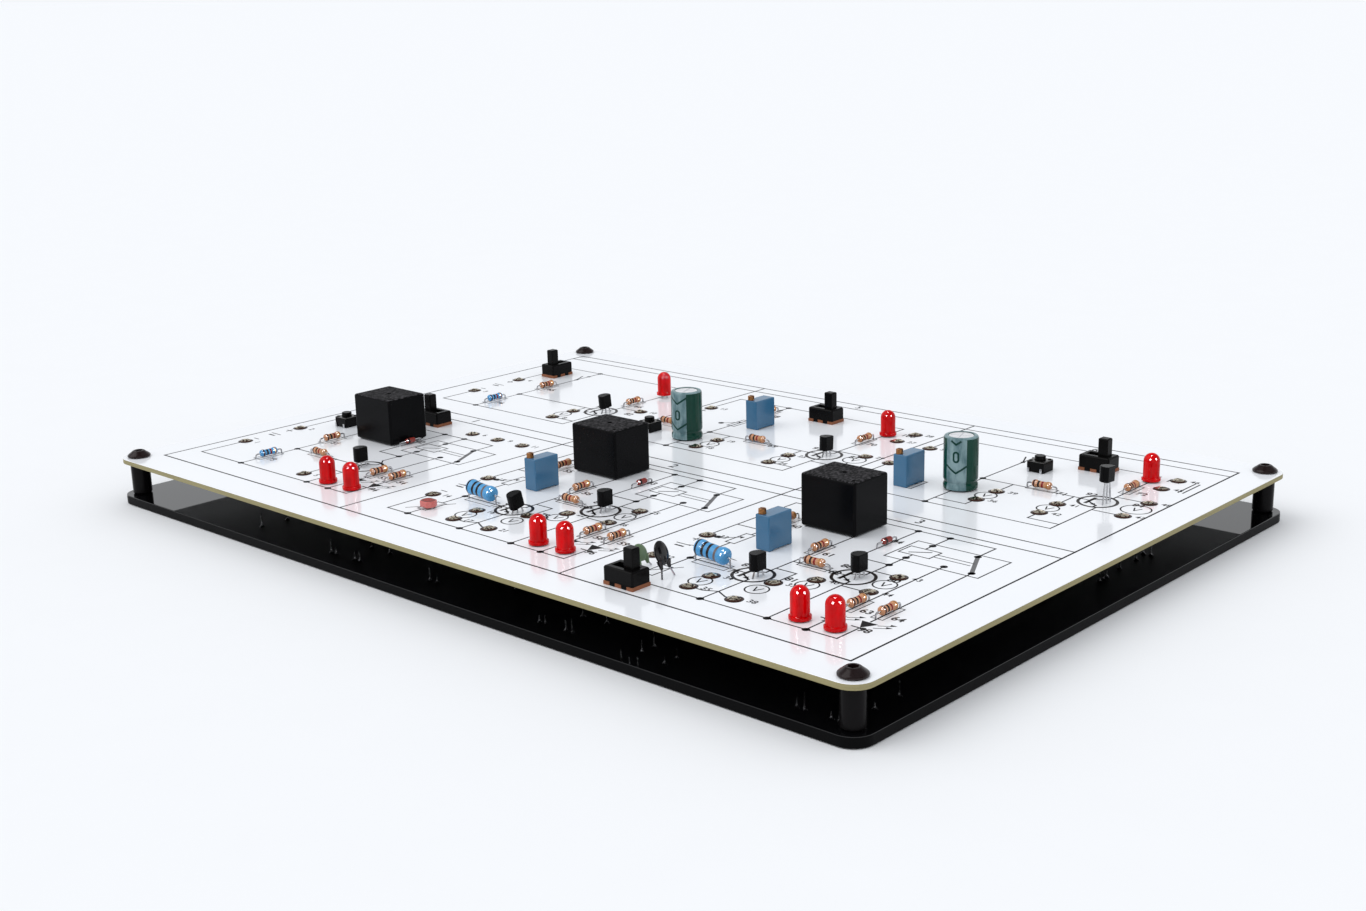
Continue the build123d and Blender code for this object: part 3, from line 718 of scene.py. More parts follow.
def make_relays():
    """Relay covers with grained tops, and their bases."""
    piece = Piece("relay side", "relay top")
    for points in solids("relay_covers"):
        low, high = span(points)
        centre = middle(points)
        cover = box(low, high, 0.75, 4)
        inner_low = low + Vector((RELAY_WALL, RELAY_WALL, -1))
        inner_high = Vector((high.x - RELAY_WALL, high.y - RELAY_WALL, low.z + RELAY_RECESS))
        recess = box(inner_low, inner_high)
        dimple = moved(turned([(0.8, 0), (0.8, 2)], 24), centre.x, centre.y, high.z - 0.4)
        vent = moved(turned([(0.55, 0), (0.6, 2)], 20), high.x - 2.2, low.y + 2.2, high.z - 0.4)
        cover = carved(cover, recess, dimple, vent)
        for face in cover.faces:
            face.material_index = 1 if face.normal.z > 0.8 else 0
        piece.add(cover)
    piece.finish("relay_covers_look", BOARD_BODY, "relay_covers", slot="relay_plastic")
    show_refined("relay_bases", "relay side", 0.1, "relay_plastic")


SWITCHES = ["front_left", "front_right", "back_left", "back_middle", "back_right"]
BUTTONS = ["front_left", "back_middle", "back_right"]
TRIMMERS = ["front_middle", "front_right", "back_middle", "back_right"]
BUTTON_BODY_HEIGHT = 3.3
RIVET_FOOT_HEIGHT = 3.5
RIVET_OFFSET = 2.1


def make_switches():
    """Slide switches: phenolic base, black housing and knob."""
    for circuit in SWITCHES:
        show_refined(circuit + "_switch_base", "phenolic", 0.08, "switch_base")
        show_refined(circuit + "_switch_housing", "switch black", 0.12, "switch_plastic")
        show_refined(circuit + "_switch_knob", "switch black", 0.18, "switch_plastic", 3)


def make_buttons():
    """Push-buttons: body, steel plate with four riveted posts, and plunger."""
    for circuit in BUTTONS:
        name = circuit + "_button_body"
        low, high = span(solids(name)[0])
        centre = (low + high) / 2
        piece = Piece("switch black")
        block = box(low, (high.x, high.y, BOARD_TOP + BUTTON_BODY_HEIGHT), 0.25, 3)
        piece.add(block, "switch black")
        for x in (centre.x - RIVET_OFFSET, centre.x + RIVET_OFFSET):
            for y in (centre.y - RIVET_OFFSET, centre.y + RIVET_OFFSET):
                rivet = turned([(0.62, 0), (0.62, 0.1), (0.5, 0.22), (0.25, 0.28)], 16)
                piece.add(rivet, "switch black", at(x, y, BOARD_TOP + RIVET_FOOT_HEIGHT))
        piece.finish(name + "_look", body_of(name), name, slot="switch_plastic")

        name = circuit + "_button_plate"
        low, high = span(solids(name)[0])
        hole = moved(turned([(1.85, 0), (1.85, 2)], 40), centre.x, centre.y, low.z - 1)
        show(carved(box(low, high, 0.08), hole), "button plate", name + "_look", name, "tinned_steel")

        name = circuit + "_button_plunger"
        low, high = span(solids(name)[0])
        rise = high.z - low.z
        profile = [(2.15, 0), (2.15, 0.8), (1.7, 0.85), (1.75, rise - 0.3), (1.68, rise - 0.1)]
        profile += [(1.5, rise), (0.9, rise - 0.04)]
        place = at(centre.x, centre.y, low.z)
        show(turned(profile, 40), "switch black", circuit + "_button_cap", name, "switch_plastic", place)
    show_refined("button_legs", "tinned steel", 0.06, "tinned_steel")


def make_trimmers():
    """Multi-turn trimmers: blue body on feet and a slotted brass screw."""
    for circuit in TRIMMERS:
        screw_name = circuit + "_trimmer_screw"
        screw_low, screw_high = span(solids(screw_name)[0])
        centre = (screw_low + screw_high) / 2

        name = circuit + "_trimmer_body"
        low, high = span(solids(name)[0])
        under = box((low.x - 1, low.y + 1.4, low.z - 1), (high.x + 1, high.y - 1.4, low.z + 0.4))
        well = moved(turned([(1.2, 0), (1.2, 3)], 24), centre.x, centre.y, high.z - 1.6)
        body = carved(box(low, high, 0.35, 3), under, well)
        show(body, "trimmer blue", circuit + "_trimmer_look", name, "trimmer_blue")

        rise = screw_high.z - screw_low.z
        screw = turned([(1.1, 0), (1.1, rise - 0.12), (0.98, rise)], 32)
        slot = box((-2, -0.25, rise - 0.8), (2, 0.25, rise + 1))
        place = at(centre.x, centre.y, screw_low.z)
        show(carved(screw, slot), "brass", circuit + "_brass_screw", screw_name, "brass", place)


# Components on leads

WIRE_DIAMETER = 0.5
WIRE_BEND_RADIUS = 0.8
LENS_RADIUS = 2.5
FLANGE_RADIUS = 2.9
CASE_RADIUS = 2.35
CASE_FLAT_DISTANCE = 1.3
DIODE_LENGTH = 3.9
SLEEVE_RADIUS = 5.3
SLEEVE_TOP = 15.9
STRIPE_HALF_WIDTH = 3.25
STRIPE_HALF_ANGLE = 36
STRIPE_ANGLES = (-84, -73)
CHEVRON_TIPS = (12.9, 14.9)
CHEVRON_SLOPE = 2.2 / STRIPE_HALF_WIDTH
CHEVRON_SPACING = 8.9
OVAL_RADIUS = 0.75
OVAL_DROP = 3.9
LIP_HEIGHT = 16.5
LIP_INNER_RADIUS = 4.1
STROKE_STEP = 0.5
STROKE_OVERLAP = 0.12
STROKE_HALF_WIDTH = 0.29
SENSOR_RADIUS = 2.55
TRACK_LINES = 7
TRACK_STEP = 0.5
TRACK_REACH = 1.2
PAD_RIM_HEIGHT = 0.32
RIPPLE_SHARE = 0.12
LONG_TIP = -4.8
SHORT_TIP = -2.2
TIP_STEP = 0.7


def make_leds():
    """Red lenses with a domed top and a flange that is flat on one side."""
    piece = Piece("red lens")
    for points in solids("led_lenses"):
        low, high = span(points)
        foot = at((low.x + LENS_RADIUS + high.x - FLANGE_RADIUS) / 2, (low.y + high.y) / 2, low.z)
        shoulder = high.z - low.z - LENS_RADIUS
        profile = [(LENS_RADIUS - 0.1, 0), (LENS_RADIUS, 0.1), (LENS_RADIUS, shoulder)]
        profile += arc((0, shoulder), LENS_RADIUS, 10, 80, 7)
        piece.add(turned(profile, 40), "red lens", foot)
        outline = [(max(x, -LENS_RADIUS), y) for x, y in arc((0, 0), FLANGE_RADIUS, 0, 352.5, 47)]
        piece.add(prism(outline, 0, 1.0, 0.12), "red lens", foot)
    piece.finish("red_lenses", BOARD_BODY, "led_lenses", slot="red_lens")


def make_transistors():
    """Half-round transistor cases, each leaning as its CAD solid does."""
    piece = Piece("black epoxy")
    outline = arc((0, 0), CASE_RADIUS, 56, 304, 24)
    for points in solids("transistor_bodies"):
        lower, upper = ends(points)
        low, high = span(points)
        lean = Vector((0, 0, 1)).rotation_difference(upper - lower).to_matrix().to_4x4()
        foot = Vector((high.x - CASE_FLAT_DISTANCE, lower.y, lower.z))
        case = prism(outline, 0, (upper - lower).length, 0.22, 3)
        piece.add(case, "black epoxy", Matrix.Translation(foot) @ lean)
    piece.finish("half_round_cases", BOARD_BODY, "transistor_bodies", slot="black_epoxy")


def make_leads():
    """Leads of LEDs, transistors and sensors, and the bent wires of lying components."""
    for node in ("led_leads", "transistor_leads", "sensor_leads"):
        piece = Piece("tinned steel")
        for points in solids(node):
            lower, upper = ends(points)
            piece.add(tube([lower, upper], WIRE_DIAMETER), "tinned steel")
        piece.finish(node + "_look", BOARD_BODY, node, slot="tinned_steel")

    piece = Piece("tinned steel")
    for points in solids("component_wires"):
        foot = middle([point for point in points if point.z < BOARD_TOP + 0.1])
        top = max(point.z for point in points) - WIRE_DIAMETER / 2
        head = max(points, key=lambda point: (point - foot).to_2d().length)
        along = head - foot
        if abs(along.x) > abs(along.y):
            head = Vector((head.x, foot.y, top))
        else:
            head = Vector((foot.x, head.y, top))
        path = rounded_path([foot, Vector((foot.x, foot.y, top)), head], WIRE_BEND_RADIUS)
        piece.add(tube(path, WIRE_DIAMETER), "tinned steel")
    piece.finish("bent_wires", BOARD_BODY, "component_wires", slot="tinned_steel")


def lying(points, length, lean=0):
    """Place of the start of a body lying along its longer side, its far end lower by lean degrees."""
    low, high = span(points)
    centre = (low + high) / 2
    turn = 0 if high.x - low.x > high.y - low.y else 90
    flat = Matrix.Rotation(math.radians(90), 4, "Y")
    place = at(centre.x, centre.y, centre.z, turn) @ at(turn=lean, axis="Y")
    return place @ flat @ Matrix.Translation((0, 0, -length / 2))


def stepped(profile, heights):
    """The profile with added points at some heights."""
    points = list(profile)
    for height in heights:
        for (size, low), (next_size, high) in zip(profile, profile[1:]):
            if low < height < high:
                points.append((size + (next_size - size) * (height - low) / (high - low), height))
    return sorted(points, key=lambda point: point[1])


def resistor(length, diameter, waist, bands):
    """Resistor body: two thick caps, a waist, and colour bands given as shares of its length."""
    slim = waist / diameter
    shape = [(0.42, 0), (0.7, 0.012), (0.88, 0.04), (0.97, 0.08), (1, 0.13), (0.99, 0.19)]
    shape += [(slim, 0.29), (slim, 0.5)]
    shape += [(size, 1 - share) for size, share in reversed(shape[:-1])]
    profile = [(size * diameter / 2, share * length) for size, share in shape]
    limits = [(low * length, high * length, index) for low, high, index in bands]
    heights = [height for low, high, index in limits for height in (low, high)]
    return turned(stepped(profile, heights), 28, limits)


def show_resistors(node, slot, names, size, bands, lean=0):
    """Puts resistors in place of a CAD node; size is their length, diameter and waist."""
    piece = Piece(*names)
    for points in solids(node):
        piece.add(resistor(*size, bands), place=lying(points, size[0], lean))
    piece.finish(node + "_look", BOARD_BODY, node, slot=slot)


def make_resistors():
    """Small tan and blue resistors and the two large blue ones."""
    bands = [(0.08, 0.18, 1), (0.31, 0.42, 2), (0.52, 0.63, 3), (0.8, 0.88, 4)]
    colours = ["band brown", "band black", "band red", "band gold"]
    for node, enamel, slot in (
        ("brown_resistors", "tan enamel", "tan_enamel"), ("blue_resistors", "blue enamel", "blue_enamel"),
    ):
        show_resistors(node, slot, [enamel, *colours], (6.3, 2.4, 2.0), bands)
    bands = [(0.08, 0.14, 1), (0.27, 0.35, 1), (0.45, 0.53, 1), (0.67, 0.75, 2)]
    colours = ["blue enamel", "band black", "band grey"]
    show_resistors("power_resistors", "blue_enamel", colours, (10.9, 4.8, 4.3), bands, 5)


def make_diodes():
    """Glass diodes with a dark band."""
    piece = Piece("diode glass", "band black")
    half = [(0.35, 0), (0.6, 0.1), (0.82, 0.3), (0.9, 0.6)]
    profile = half + [(0.9, 0.9), (0.9, 1.4)] + [(size, DIODE_LENGTH - z) for size, z in reversed(half)]
    for points in solids("diodes"):
        piece.add(turned(profile, 24, [(0.7, 1.2, 1)]), place=lying(points, DIODE_LENGTH))
    piece.finish("glass_diodes", BOARD_BODY, "diodes", slot="diode_glass")


def wrapped_line(piece, place, points):
    """Dark line on a sleeve through points of arc length and height."""
    tangent = Matrix(((0, 0, 1, 0), (1, 0, 0, 0), (0, 1, 0, 0), (0, 0, 0, 1)))
    for (x, y), (far_x, far_y) in zip(points, points[1:]):
        length = math.hypot(far_x - x, far_y - y)
        count = max(1, round(length / STROKE_STEP))
        half = length / count / 2 + STROKE_OVERLAP
        slope = math.degrees(math.atan2(far_y - y, far_x - x))
        for i in range(count):
            share = (i + 0.5) / count
            turn = math.degrees((x + (far_x - x) * share) / SLEEVE_RADIUS)
            spot = place @ at(turn=turn) @ at(SLEEVE_RADIUS, 0, y + (far_y - y) * share)
            stroke = box((-half, -STROKE_HALF_WIDTH, -0.03), (half, STROKE_HALF_WIDTH, 0.02))
            piece.add(stroke, "sleeve ink and painted lip shade", spot @ tangent @ at(turn=slope))


def make_capacitors():
    """Electrolytic capacitors: rolled sleeve with a pale stripe, bare top with its vent cross; the lip is
    pale on top as a painted highlight and dark on its inner edge as painted shade.
    """
    sleeve_piece = Piece("green sleeve", "sleeve stripe with painted highlights", "sleeve ink and painted lip shade")
    can_piece = Piece("can metal")
    bung_piece = Piece("rubber")
    sleeves = sorted(solids("capacitor_sleeves"), key=lambda points: middle(points).x)
    for points, stripe_angle, tip in zip(sleeves, STRIPE_ANGLES, CHEVRON_TIPS):
        centre = middle(points)
        place = at(centre.x, centre.y, BOARD_TOP)
        wall = [
            (5.0, 0.4), (5.25, 0.55), (SLEEVE_RADIUS, 1.4), (5.26, 1.8), (5.04, 2.25), (4.9, 2.6),
            (5.04, 2.95), (5.26, 3.4), (SLEEVE_RADIUS, 3.9), (SLEEVE_RADIUS, SLEEVE_TOP), (5.2, 16.35),
            (4.95, 16.68), (4.5, 16.8), (3.9, 16.76), (3.7, 16.6),
        ]
        sleeve = turned(wall, 96)
        poles = [vert for vert in sleeve.verts if vert.co.to_2d().length < 0.01]
        bmesh.ops.delete(sleeve, geom=poles, context="VERTS")
        for face in sleeve.faces:
            spot = face.calc_center_median()
            angle = math.degrees(math.atan2(spot.y, spot.x))
            radius = spot.to_2d().length
            # The top of the rolled lip takes the pale stripe material all round: a painted highlight.
            rim = spot.z > LIP_HEIGHT and radius > LIP_INNER_RADIUS
            if rim or abs(angle - stripe_angle) < STRIPE_HALF_ANGLE:
                face.material_index = 1
            # The inner edge of the lip takes the dark sleeve ink: painted shade.
            elif radius < LIP_INNER_RADIUS and spot.z > 2:
                face.material_index = 2
        sleeve_piece.add(sleeve, place=place)
        front = place @ at(turn=stripe_angle)
        for low in (tip, tip - CHEVRON_SPACING):
            reach = min(STRIPE_HALF_WIDTH, (SLEEVE_TOP - low) / CHEVRON_SLOPE)
            top = low + reach * CHEVRON_SLOPE
            wrapped_line(sleeve_piece, front, [(-reach, top), (0, low), (reach, top)])
        middle_height = tip - OVAL_DROP
        oval = []
        for x, y in arc((0, 0), OVAL_RADIUS, 0, 360, 24):
            oval.append((x, middle_height + y + (OVAL_RADIUS if y > 0 else -OVAL_RADIUS)))
        wrapped_line(sleeve_piece, front, oval)
        top = turned([(4.4, 15), (4.4, 16.5), (3.6, 16.62), (0.5, 16.62)], 64)
        grooves = [box((-3.2, -0.25, 16.4), (3.2, 0.25, 18)), box((-0.25, -3.2, 16.4), (0.25, 3.2, 18))]
        can_piece.add(carved(top, *grooves), "can metal", place @ at(turn=20))
        bung_piece.add(turned([(4.0, 0), (4.05, 0.1), (4.05, 0.6)], 48), "rubber", place)
    sleeve_piece.finish("green_sleeves", BOARD_BODY, "capacitor_sleeves", slot="green_sleeve")
    can_piece.finish("can_tops", BOARD_BODY, "capacitor_cans", slot="can_metal")
    bung_piece.finish("rubber_bungs", BOARD_BODY, "capacitor_bungs", slot="rubber")


def make_sensors():
    """Light sensor and the two thermistors."""
    low, high = span(solids("light_sensor")[0])
    centre = (low + high) / 2
    half_y = (high.y - low.y) / 2
    outline = [(x, max(-half_y, min(half_y, y))) for x, y in arc((0, 0), SENSOR_RADIUS, 0, 354, 59)]
    piece = Piece("sensor coat", "sensor face", "sensor track")
    piece.add(prism(outline, low.z, high.z - 0.1, 0.3, 4), "sensor coat", at(centre.x, centre.y))
    face = [(x * 0.86, y * 0.84) for x, y in outline]
    piece.add(prism(face, high.z - 0.12, high.z - 0.05), "sensor face", at(centre.x, centre.y))
    path = []
    for i in range(TRACK_LINES):
        x = TRACK_STEP * (i - TRACK_LINES // 2)
        start = -TRACK_REACH if i % 2 else TRACK_REACH
        path += [(x, start), (x, -start)]
    track = tube([(x, y, 0) for x, y in path], 0.22, 6)
    bmesh.ops.scale(track, vec=(1, 1, 0.3), verts=track.verts)
    piece.add(track, "sensor track", at(centre.x, centre.y, high.z - 0.05))
    piece.finish("light_sensor_look", BOARD_BODY, "light_sensor", slot="sensor_coat")

    feet = [ends(points)[0] for points in solids("sensor_leads")]
    for node, material, slot, height, centre, lean in (
        ("black_thermistor", "glossy black", "black_epoxy", 6.6, 6.7, -20),
        ("green_thermistor", "green epoxy", "green_epoxy", 4.8, 4.2, -27),
    ):
        spot = middle(solids(node)[0])
        near = sorted(feet, key=lambda foot: (foot - spot).to_2d().length)[:2]
        foot = (near[0] + near[1]) / 2
        piece = Piece(material)
        drop = bmesh.new()
        bmesh.ops.create_uvsphere(drop, u_segments=40, v_segments=24, radius=1)
        bmesh.ops.scale(drop, vec=(1.1, 2.4, height / 2), verts=drop.verts)
        place = at(foot.x, foot.y, BOARD_TOP) @ at(turn=lean, axis="Y")
        piece.add(drop, material, place @ at(z=centre))
        bottom = centre - height / 2 - 1.0
        for side in (-1, 1):
            profile = [(0.3, 0), (0.42, 0.1), (0.52, 0.7), (0.78, 1.7), (0.85, 2.4)]
            piece.add(turned(profile, 24), material, place @ at(y=side * 1.5, z=bottom))
        piece.finish(node + "_look", BOARD_BODY, node, slot=slot)


def make_solder():
    """Mounds of solder on the test pads, and the joints with clipped leads under the board."""
    piece = Piece("pad solder", "pad rim")
    for i, points in enumerate(solids("test_pads")):
        centre = middle(points)
        profile = [(2.2, 0), (2.2, 0.1), (1.95, 0.26), (1.75, 0.34), (1.45, 0.46), (1.0, 0.64)]
        profile += [(0.55, 0.76), (0.2, 0.8)]
        mound = turned(profile, 24, [(-1, PAD_RIM_HEIGHT, 1)])
        for vert in mound.verts:
            ripple = math.sin(vert.co.x * 2.1 + i) * math.cos(vert.co.y * 2.7 + 2 * i)
            vert.co.z *= 1 + RIPPLE_SHARE * ripple
        piece.add(mound, place=at(centre.x, centre.y, BOARD_TOP, 40 * i))
    piece.finish("pad_solder", BOARD_BODY, "test_pads", slot="tinned_steel")

    piece = Piece("solder", "tinned steel")
    for i, points in enumerate(solids("solder_joints")):
        low, high = span(points)
        centre = (low + high) / 2
        tip = LONG_TIP if i % 6 == 1 else SHORT_TIP - TIP_STEP * (i * 5 % 4)
        joint = turned([(0.9, 0), (0.62, -0.25), (0.36, -0.7), (0.28, -1.1), (0.26, tip)], 8)
        piece.add(joint, "solder", at(centre.x, centre.y, high.z))
    piece.finish("underside_joints", BOARD_BODY, "solder_joints", slot="tinned_steel")


# Printed circuits, drawn in millimetres from the lower left corner of the printed frame

INK_HIGH = 0.02
FRAME_WIDTH = 290.0
FRAME_DEPTH = 197.6
SENSOR_STEP = (93.37, -0.2)
LABEL_SIZE = 3.6
PAD_LABEL_SIZE = 3.0
FIRST_LABEL = 50
BOLDER = {"ink": 0.04, "pale ink": 0.04, "black ink": 0.09}


def hoop(radius, width, high):
    """Flat ring."""
    part = bmesh.new()
    inner = radius - width / 2
    outer = radius + width / 2
    corners = [(inner, 0), (outer, 0), (outer, high), (inner, high)]
    line = [part.verts.new((x, 0, z)) for x, z in corners]
    edges = [part.edges.new((line[i - 1], line[i])) for i in range(4)]
    spun(part, line, edges, 36)
    return part


class Drawing(Piece):
    """Thin ink on top of the board."""

    def __init__(self, *names):
        super().__init__(*names)
        self.shift = (0.0, 0.0)

    def spot(self, x, y, turn=0):
        """Place on the board's top of a point of the printed frame."""
        return at(FRAME_LEFT + x + self.shift[0], FRAME_FRONT + y + self.shift[1], BOARD_TOP, turn)

    def line(self, *points, width=0.48, ink="ink"):
        for (x, y), (far_x, far_y) in zip(points, points[1:]):
            half = math.hypot(far_x - x, far_y - y) / 2 + width / 2
            turn = math.degrees(math.atan2(far_y - y, far_x - x))
            stroke = box((-half, -width / 2, 0), (half, width / 2, INK_HIGH))
            self.add(stroke, ink, self.spot((x + far_x) / 2, (y + far_y) / 2, turn))

    def lines(self, *paths):
        for path in paths:
            self.line(*path)

    def shape(self, x, y, *outline):
        """Filled shape about a point."""
        self.add(prism(outline, 0, INK_HIGH), "ink", self.spot(x, y))

    def frame(self, low_x, low_y, high_x, high_y, width=0.42):
        corners = [(low_x, low_y), (high_x, low_y), (high_x, high_y), (low_x, high_y), (low_x, low_y)]
        self.line(*corners, width=width)

    def dots(self, *points, diameter=2.1):
        for x, y in points:
            self.shape(x, y, *arc((0, 0), diameter / 2, 0, 345, 23))

    def circle(self, x, y, radius, width=0.45, ink="ink"):
        self.add(hoop(radius, width, INK_HIGH), ink, self.spot(x, y))

    def number(self, number, x, y, size, ink="ink"):
        curve = bpy.data.curves.new("number", "FONT")
        curve.body = str(number)
        curve.size = size
        curve.extrude = INK_HIGH / 2
        curve.offset = BOLDER[ink]
        curve.resolution_u = 4
        curve.align_x = "CENTER"
        curve.align_y = "CENTER"
        holder = bpy.data.objects.new("number", curve)
        mesh = bpy.data.meshes.new_from_object(holder)
        part = bmesh.new()
        part.from_mesh(mesh)
        bpy.data.objects.remove(holder)
        bpy.data.curves.remove(curve)
        bpy.data.meshes.remove(mesh)
        bmesh.ops.remove_doubles(part, verts=part.verts, dist=INK_WELD)
        self.add(part, ink, self.spot(x, y) @ at(z=INK_HIGH / 2))

    def meter(self, x, y, radius=3.2):
        """Voltmeter: a V in a circle."""
        self.circle(x, y, radius)
        self.line((x - 1.1, y + 1.3), (x, y - 1.3), (x + 1.1, y + 1.3), width=0.42)

    def transistor(self, x, y, radius=5.8):
        """Transistor: circle, bar, two slanted legs and an arrow head."""
        self.circle(x, y, radius, 0.95, "black ink")
        self.line((x - 2.4, y - 2.8), (x - 2.4, y + 2.8), width=1.1, ink="black ink")
        self.line((x - radius, y), (x - 2.4, y))
        self.line((x - 2.4, y + 1.2), (x + 1.4, y + 3.6), (x + 1.4, y + radius), width=0.6)
        self.line((x - 2.4, y - 1.2), (x + 1.4, y - 3.6), (x + 1.4, y - radius), width=0.6)
        self.shape(x, y, (1.0, -3.6), (-0.9, -3.3), (0.1, -1.8))

    def light(self, x, y):
        """Light-emitting diode: filled triangle, bar and two small arrows."""
        self.shape(x, y, (-2.4, 1.9), (0, -2.3), (2.4, 1.9))
        self.line((x - 2.2, y - 2.5), (x + 2.2, y - 2.5), width=0.5)
        for rise in (0, 1.9):
            self.line((x + 2.8, y + rise - 0.6), (x + 5.6, y + rise + 1.2), width=0.3)
            self.shape(x + 5.9, y + rise + 1.4, (-1.1, 0.5), (-0.5, -0.7), (0.7, 0.6))

    def relay(self, x, y):
        """Relay: outline, coil, link and change-over contact."""
        self.frame(x, y, x + 29.7, y + 16)
        self.frame(x + 1, y + 5.2, x + 11, y + 11.2)
        self.line((x + 3.6, y + 6.6), (x + 8.6, y + 9.8), width=0.5)
        for rise in (7.1, 9.1):
            self.line((x + 11, y + rise), (x + 22.6, y + rise), width=0.35)
        self.line((x + 5.7, y + 2.1), (x + 5.7, y + 5.2))
        self.line((x + 5.7, y + 11.2), (x + 5.7, y + 14.6))
        self.line((x + 20.3, y + 14.5), (x + 26.4, y + 2.2), width=1.25, ink="pale ink")
        for dot_x, dot_y in ((5.7, 2.1), (5.7, 14.6), (17.8, 2.2), (26.4, 2.2), (20.3, 14.5)):
            self.dots((x + dot_x, y + dot_y))

    def supply(self, x, low_y, high_y):
        """Supply between two pads: plus, minus and a battery sign."""
        centre = (low_y + high_y) / 2
        self.line((x - 1.2, high_y - 4.6), (x + 1.2, high_y - 4.6), width=0.4)
        self.line((x, high_y - 5.8), (x, high_y - 3.4), width=0.4)
        self.line((x - 1.2, low_y + 4.4), (x + 1.2, low_y + 4.4), width=0.4)
        self.line((x - 2.4, centre + 1.2), (x + 2.4, centre + 1.2), width=0.4)
        self.line((x - 1.3, centre - 0.6), (x + 1.3, centre - 0.6), width=0.7)

    def key(self, x, y):
        """Push-button or switch in a line: two dots and a lever."""
        self.dots((x, y + 3.4), (x, y - 3.4), diameter=1.5)
        self.line((x, y - 3.4), (x - 2.6, y + 2.6), width=0.5)

    def variable(self, x, y):
        """Variable resistor: upright outline with a slanted wiper."""
        self.frame(x - 1.6, y - 4.5, x + 1.6, y + 4.5)
        self.line((x - 5.2, y - 3.4), (x - 0.4, y + 1.4), width=0.35)
        self.shape(x, y + 1.4, (-1.4, 0.2), (0.2, 0.3), (0, -1.4))


def draw_frames(ink):
    """Outer frame, title bars and the lines between the circuits, with plain numbers as titles."""
    ink.frame(0, 0, FRAME_WIDTH, FRAME_DEPTH, 0.6)
    for level in (92.48, 99.25, 191.87):
        ink.line((0, level), (FRAME_WIDTH, level), width=0.55)
    for x in (97.74, 193.58):
        ink.line((x, 0), (x, 99.25), width=0.55)
    for x in (99.26, 193.7):
        ink.line((x, 99.25), (x, FRAME_DEPTH), width=0.55)
    for i, x in enumerate((49, 146, 242)):
        ink.number(i + 1, x, 95.9, 5.2)
        ink.number(i + 4, x, 194.8, 4.6)


def draw_relay_circuit(ink):
    """Front left."""
    ink.lines(
        [(6.2, 25.5), (6.2, 10.5), (87, 10.5), (87, 18.5)],
        [(6.2, 53.2), (6.2, 76.8), (80, 76.8), (80, 68.3)], [(29.5, 10.6), (29.5, 76.8)],
        [(29.5, 33), (60.7, 33)], [(55, 76.8), (55, 48.3), (65.4, 48.3)], [(65.4, 76.8), (65.4, 68.3)],
        [(65.4, 56), (65.4, 41.5), (67.9, 39)], [(66.2, 28), (66.2, 10.6)], [(77.4, 55.9), (77.4, 10.5)],
        [(86, 55.9), (86.7, 23)], [(57.5, 18), (57.5, 24.5), (66.2, 24.5)],
    )
    ink.relay(59.7, 53.7)
    ink.transistor(66.5, 33.5, 5.7)
    ink.light(77.9, 21.6)
    ink.light(87, 21)
    ink.supply(6.2, 28, 50.8)
    ink.dots((29.5, 10.6), (66.2, 10.6), (77.6, 10.4), (29.5, 33), (55, 76.7), (65.4, 76.7), (65.4, 48.3))


def draw_sensor_circuit(ink):
    """Front middle and front right."""
    ink.lines(
        [(109.2, 24.5), (109.2, 9.2), (185.7, 9.2), (185.7, 17.5)],
        [(109.2, 51.5), (109.2, 88.8), (178.6, 88.8), (178.6, 80)], [(118.7, 9.2), (118.7, 14.5)],
        [(118.7, 22.5), (118.7, 48)], [(118.7, 57), (118.7, 62), (109.2, 62)],
        [(118.7, 31.5), (135.4, 31.5)], [(142.4, 88.8), (142.4, 37.1)], [(142.4, 25.9), (142.4, 9.2)],
        [(142.4, 39.2), (149.3, 39.2), (149.3, 32)], [(142.4, 46.4), (156.7, 46.4)],
        [(153.4, 88.6), (153.4, 60), (164, 60)], [(164, 88.6), (164, 80)], [(164, 67.6), (164, 52.2)],
        [(163.9, 40.6), (164.2, 9.2)], [(164, 53.5), (171.9, 53.5)], [(164, 39.2), (172.4, 39.2)],
        [(176.1, 67.7), (176.4, 9.2)], [(184.7, 67.7), (185.4, 23)],
        [(134, 14.3), (138.6, 14.3), (142.4, 16.2), (146.2, 14.3), (149.4, 14.3)],
    )
    ink.relay(158.3, 65.5)
    ink.transistor(141, 31.5, 5.6)
    ink.transistor(162.5, 46.4)
    ink.light(185.6, 20.6)
    ink.light(176.3, 20.6)
    ink.supply(109.2, 26.8, 49.2)
    ink.variable(118.5, 52.5)
    for x, y in ((133.4, 19.2), (149, 23.5), (157, 34), (172.3, 46.7)):
        ink.meter(x, y)
    ink.frame(116.8, 14.5, 120.6, 22.5)
    ink.line((113.6, 12.6), (122.6, 24.4), width=0.35)
    ink.dots(
        (118.7, 9.2), (142.3, 9.2), (164.3, 9.2), (176.4, 9.2), (118.7, 31.5),
        (153.3, 88.6), (164, 88.6), (164, 60), (112.4, 49.8),
    )


def draw_transistor_circuit(ink):
    """Back left."""
    ink.lines(
        [(11.4, 125.6), (11.4, 112.4), (77, 112.4), (77, 127.5)],
        [(11.4, 153.4), (11.4, 178), (77, 178), (77, 139.5)], [(30, 178), (30, 112.4)],
        [(30, 134.4), (69.4, 134.4)], [(66.3, 134.4), (66.3, 130.2)], [(66.5, 117.3), (77, 117.3)],
        [(77, 142), (87, 142)],
    )
    ink.transistor(75, 133.5)
    ink.meter(66.3, 122.5)
    ink.key(30, 168)
    ink.supply(11.4, 128, 151)
    ink.dots((30, 178), (30, 134.4), (30, 112.4))


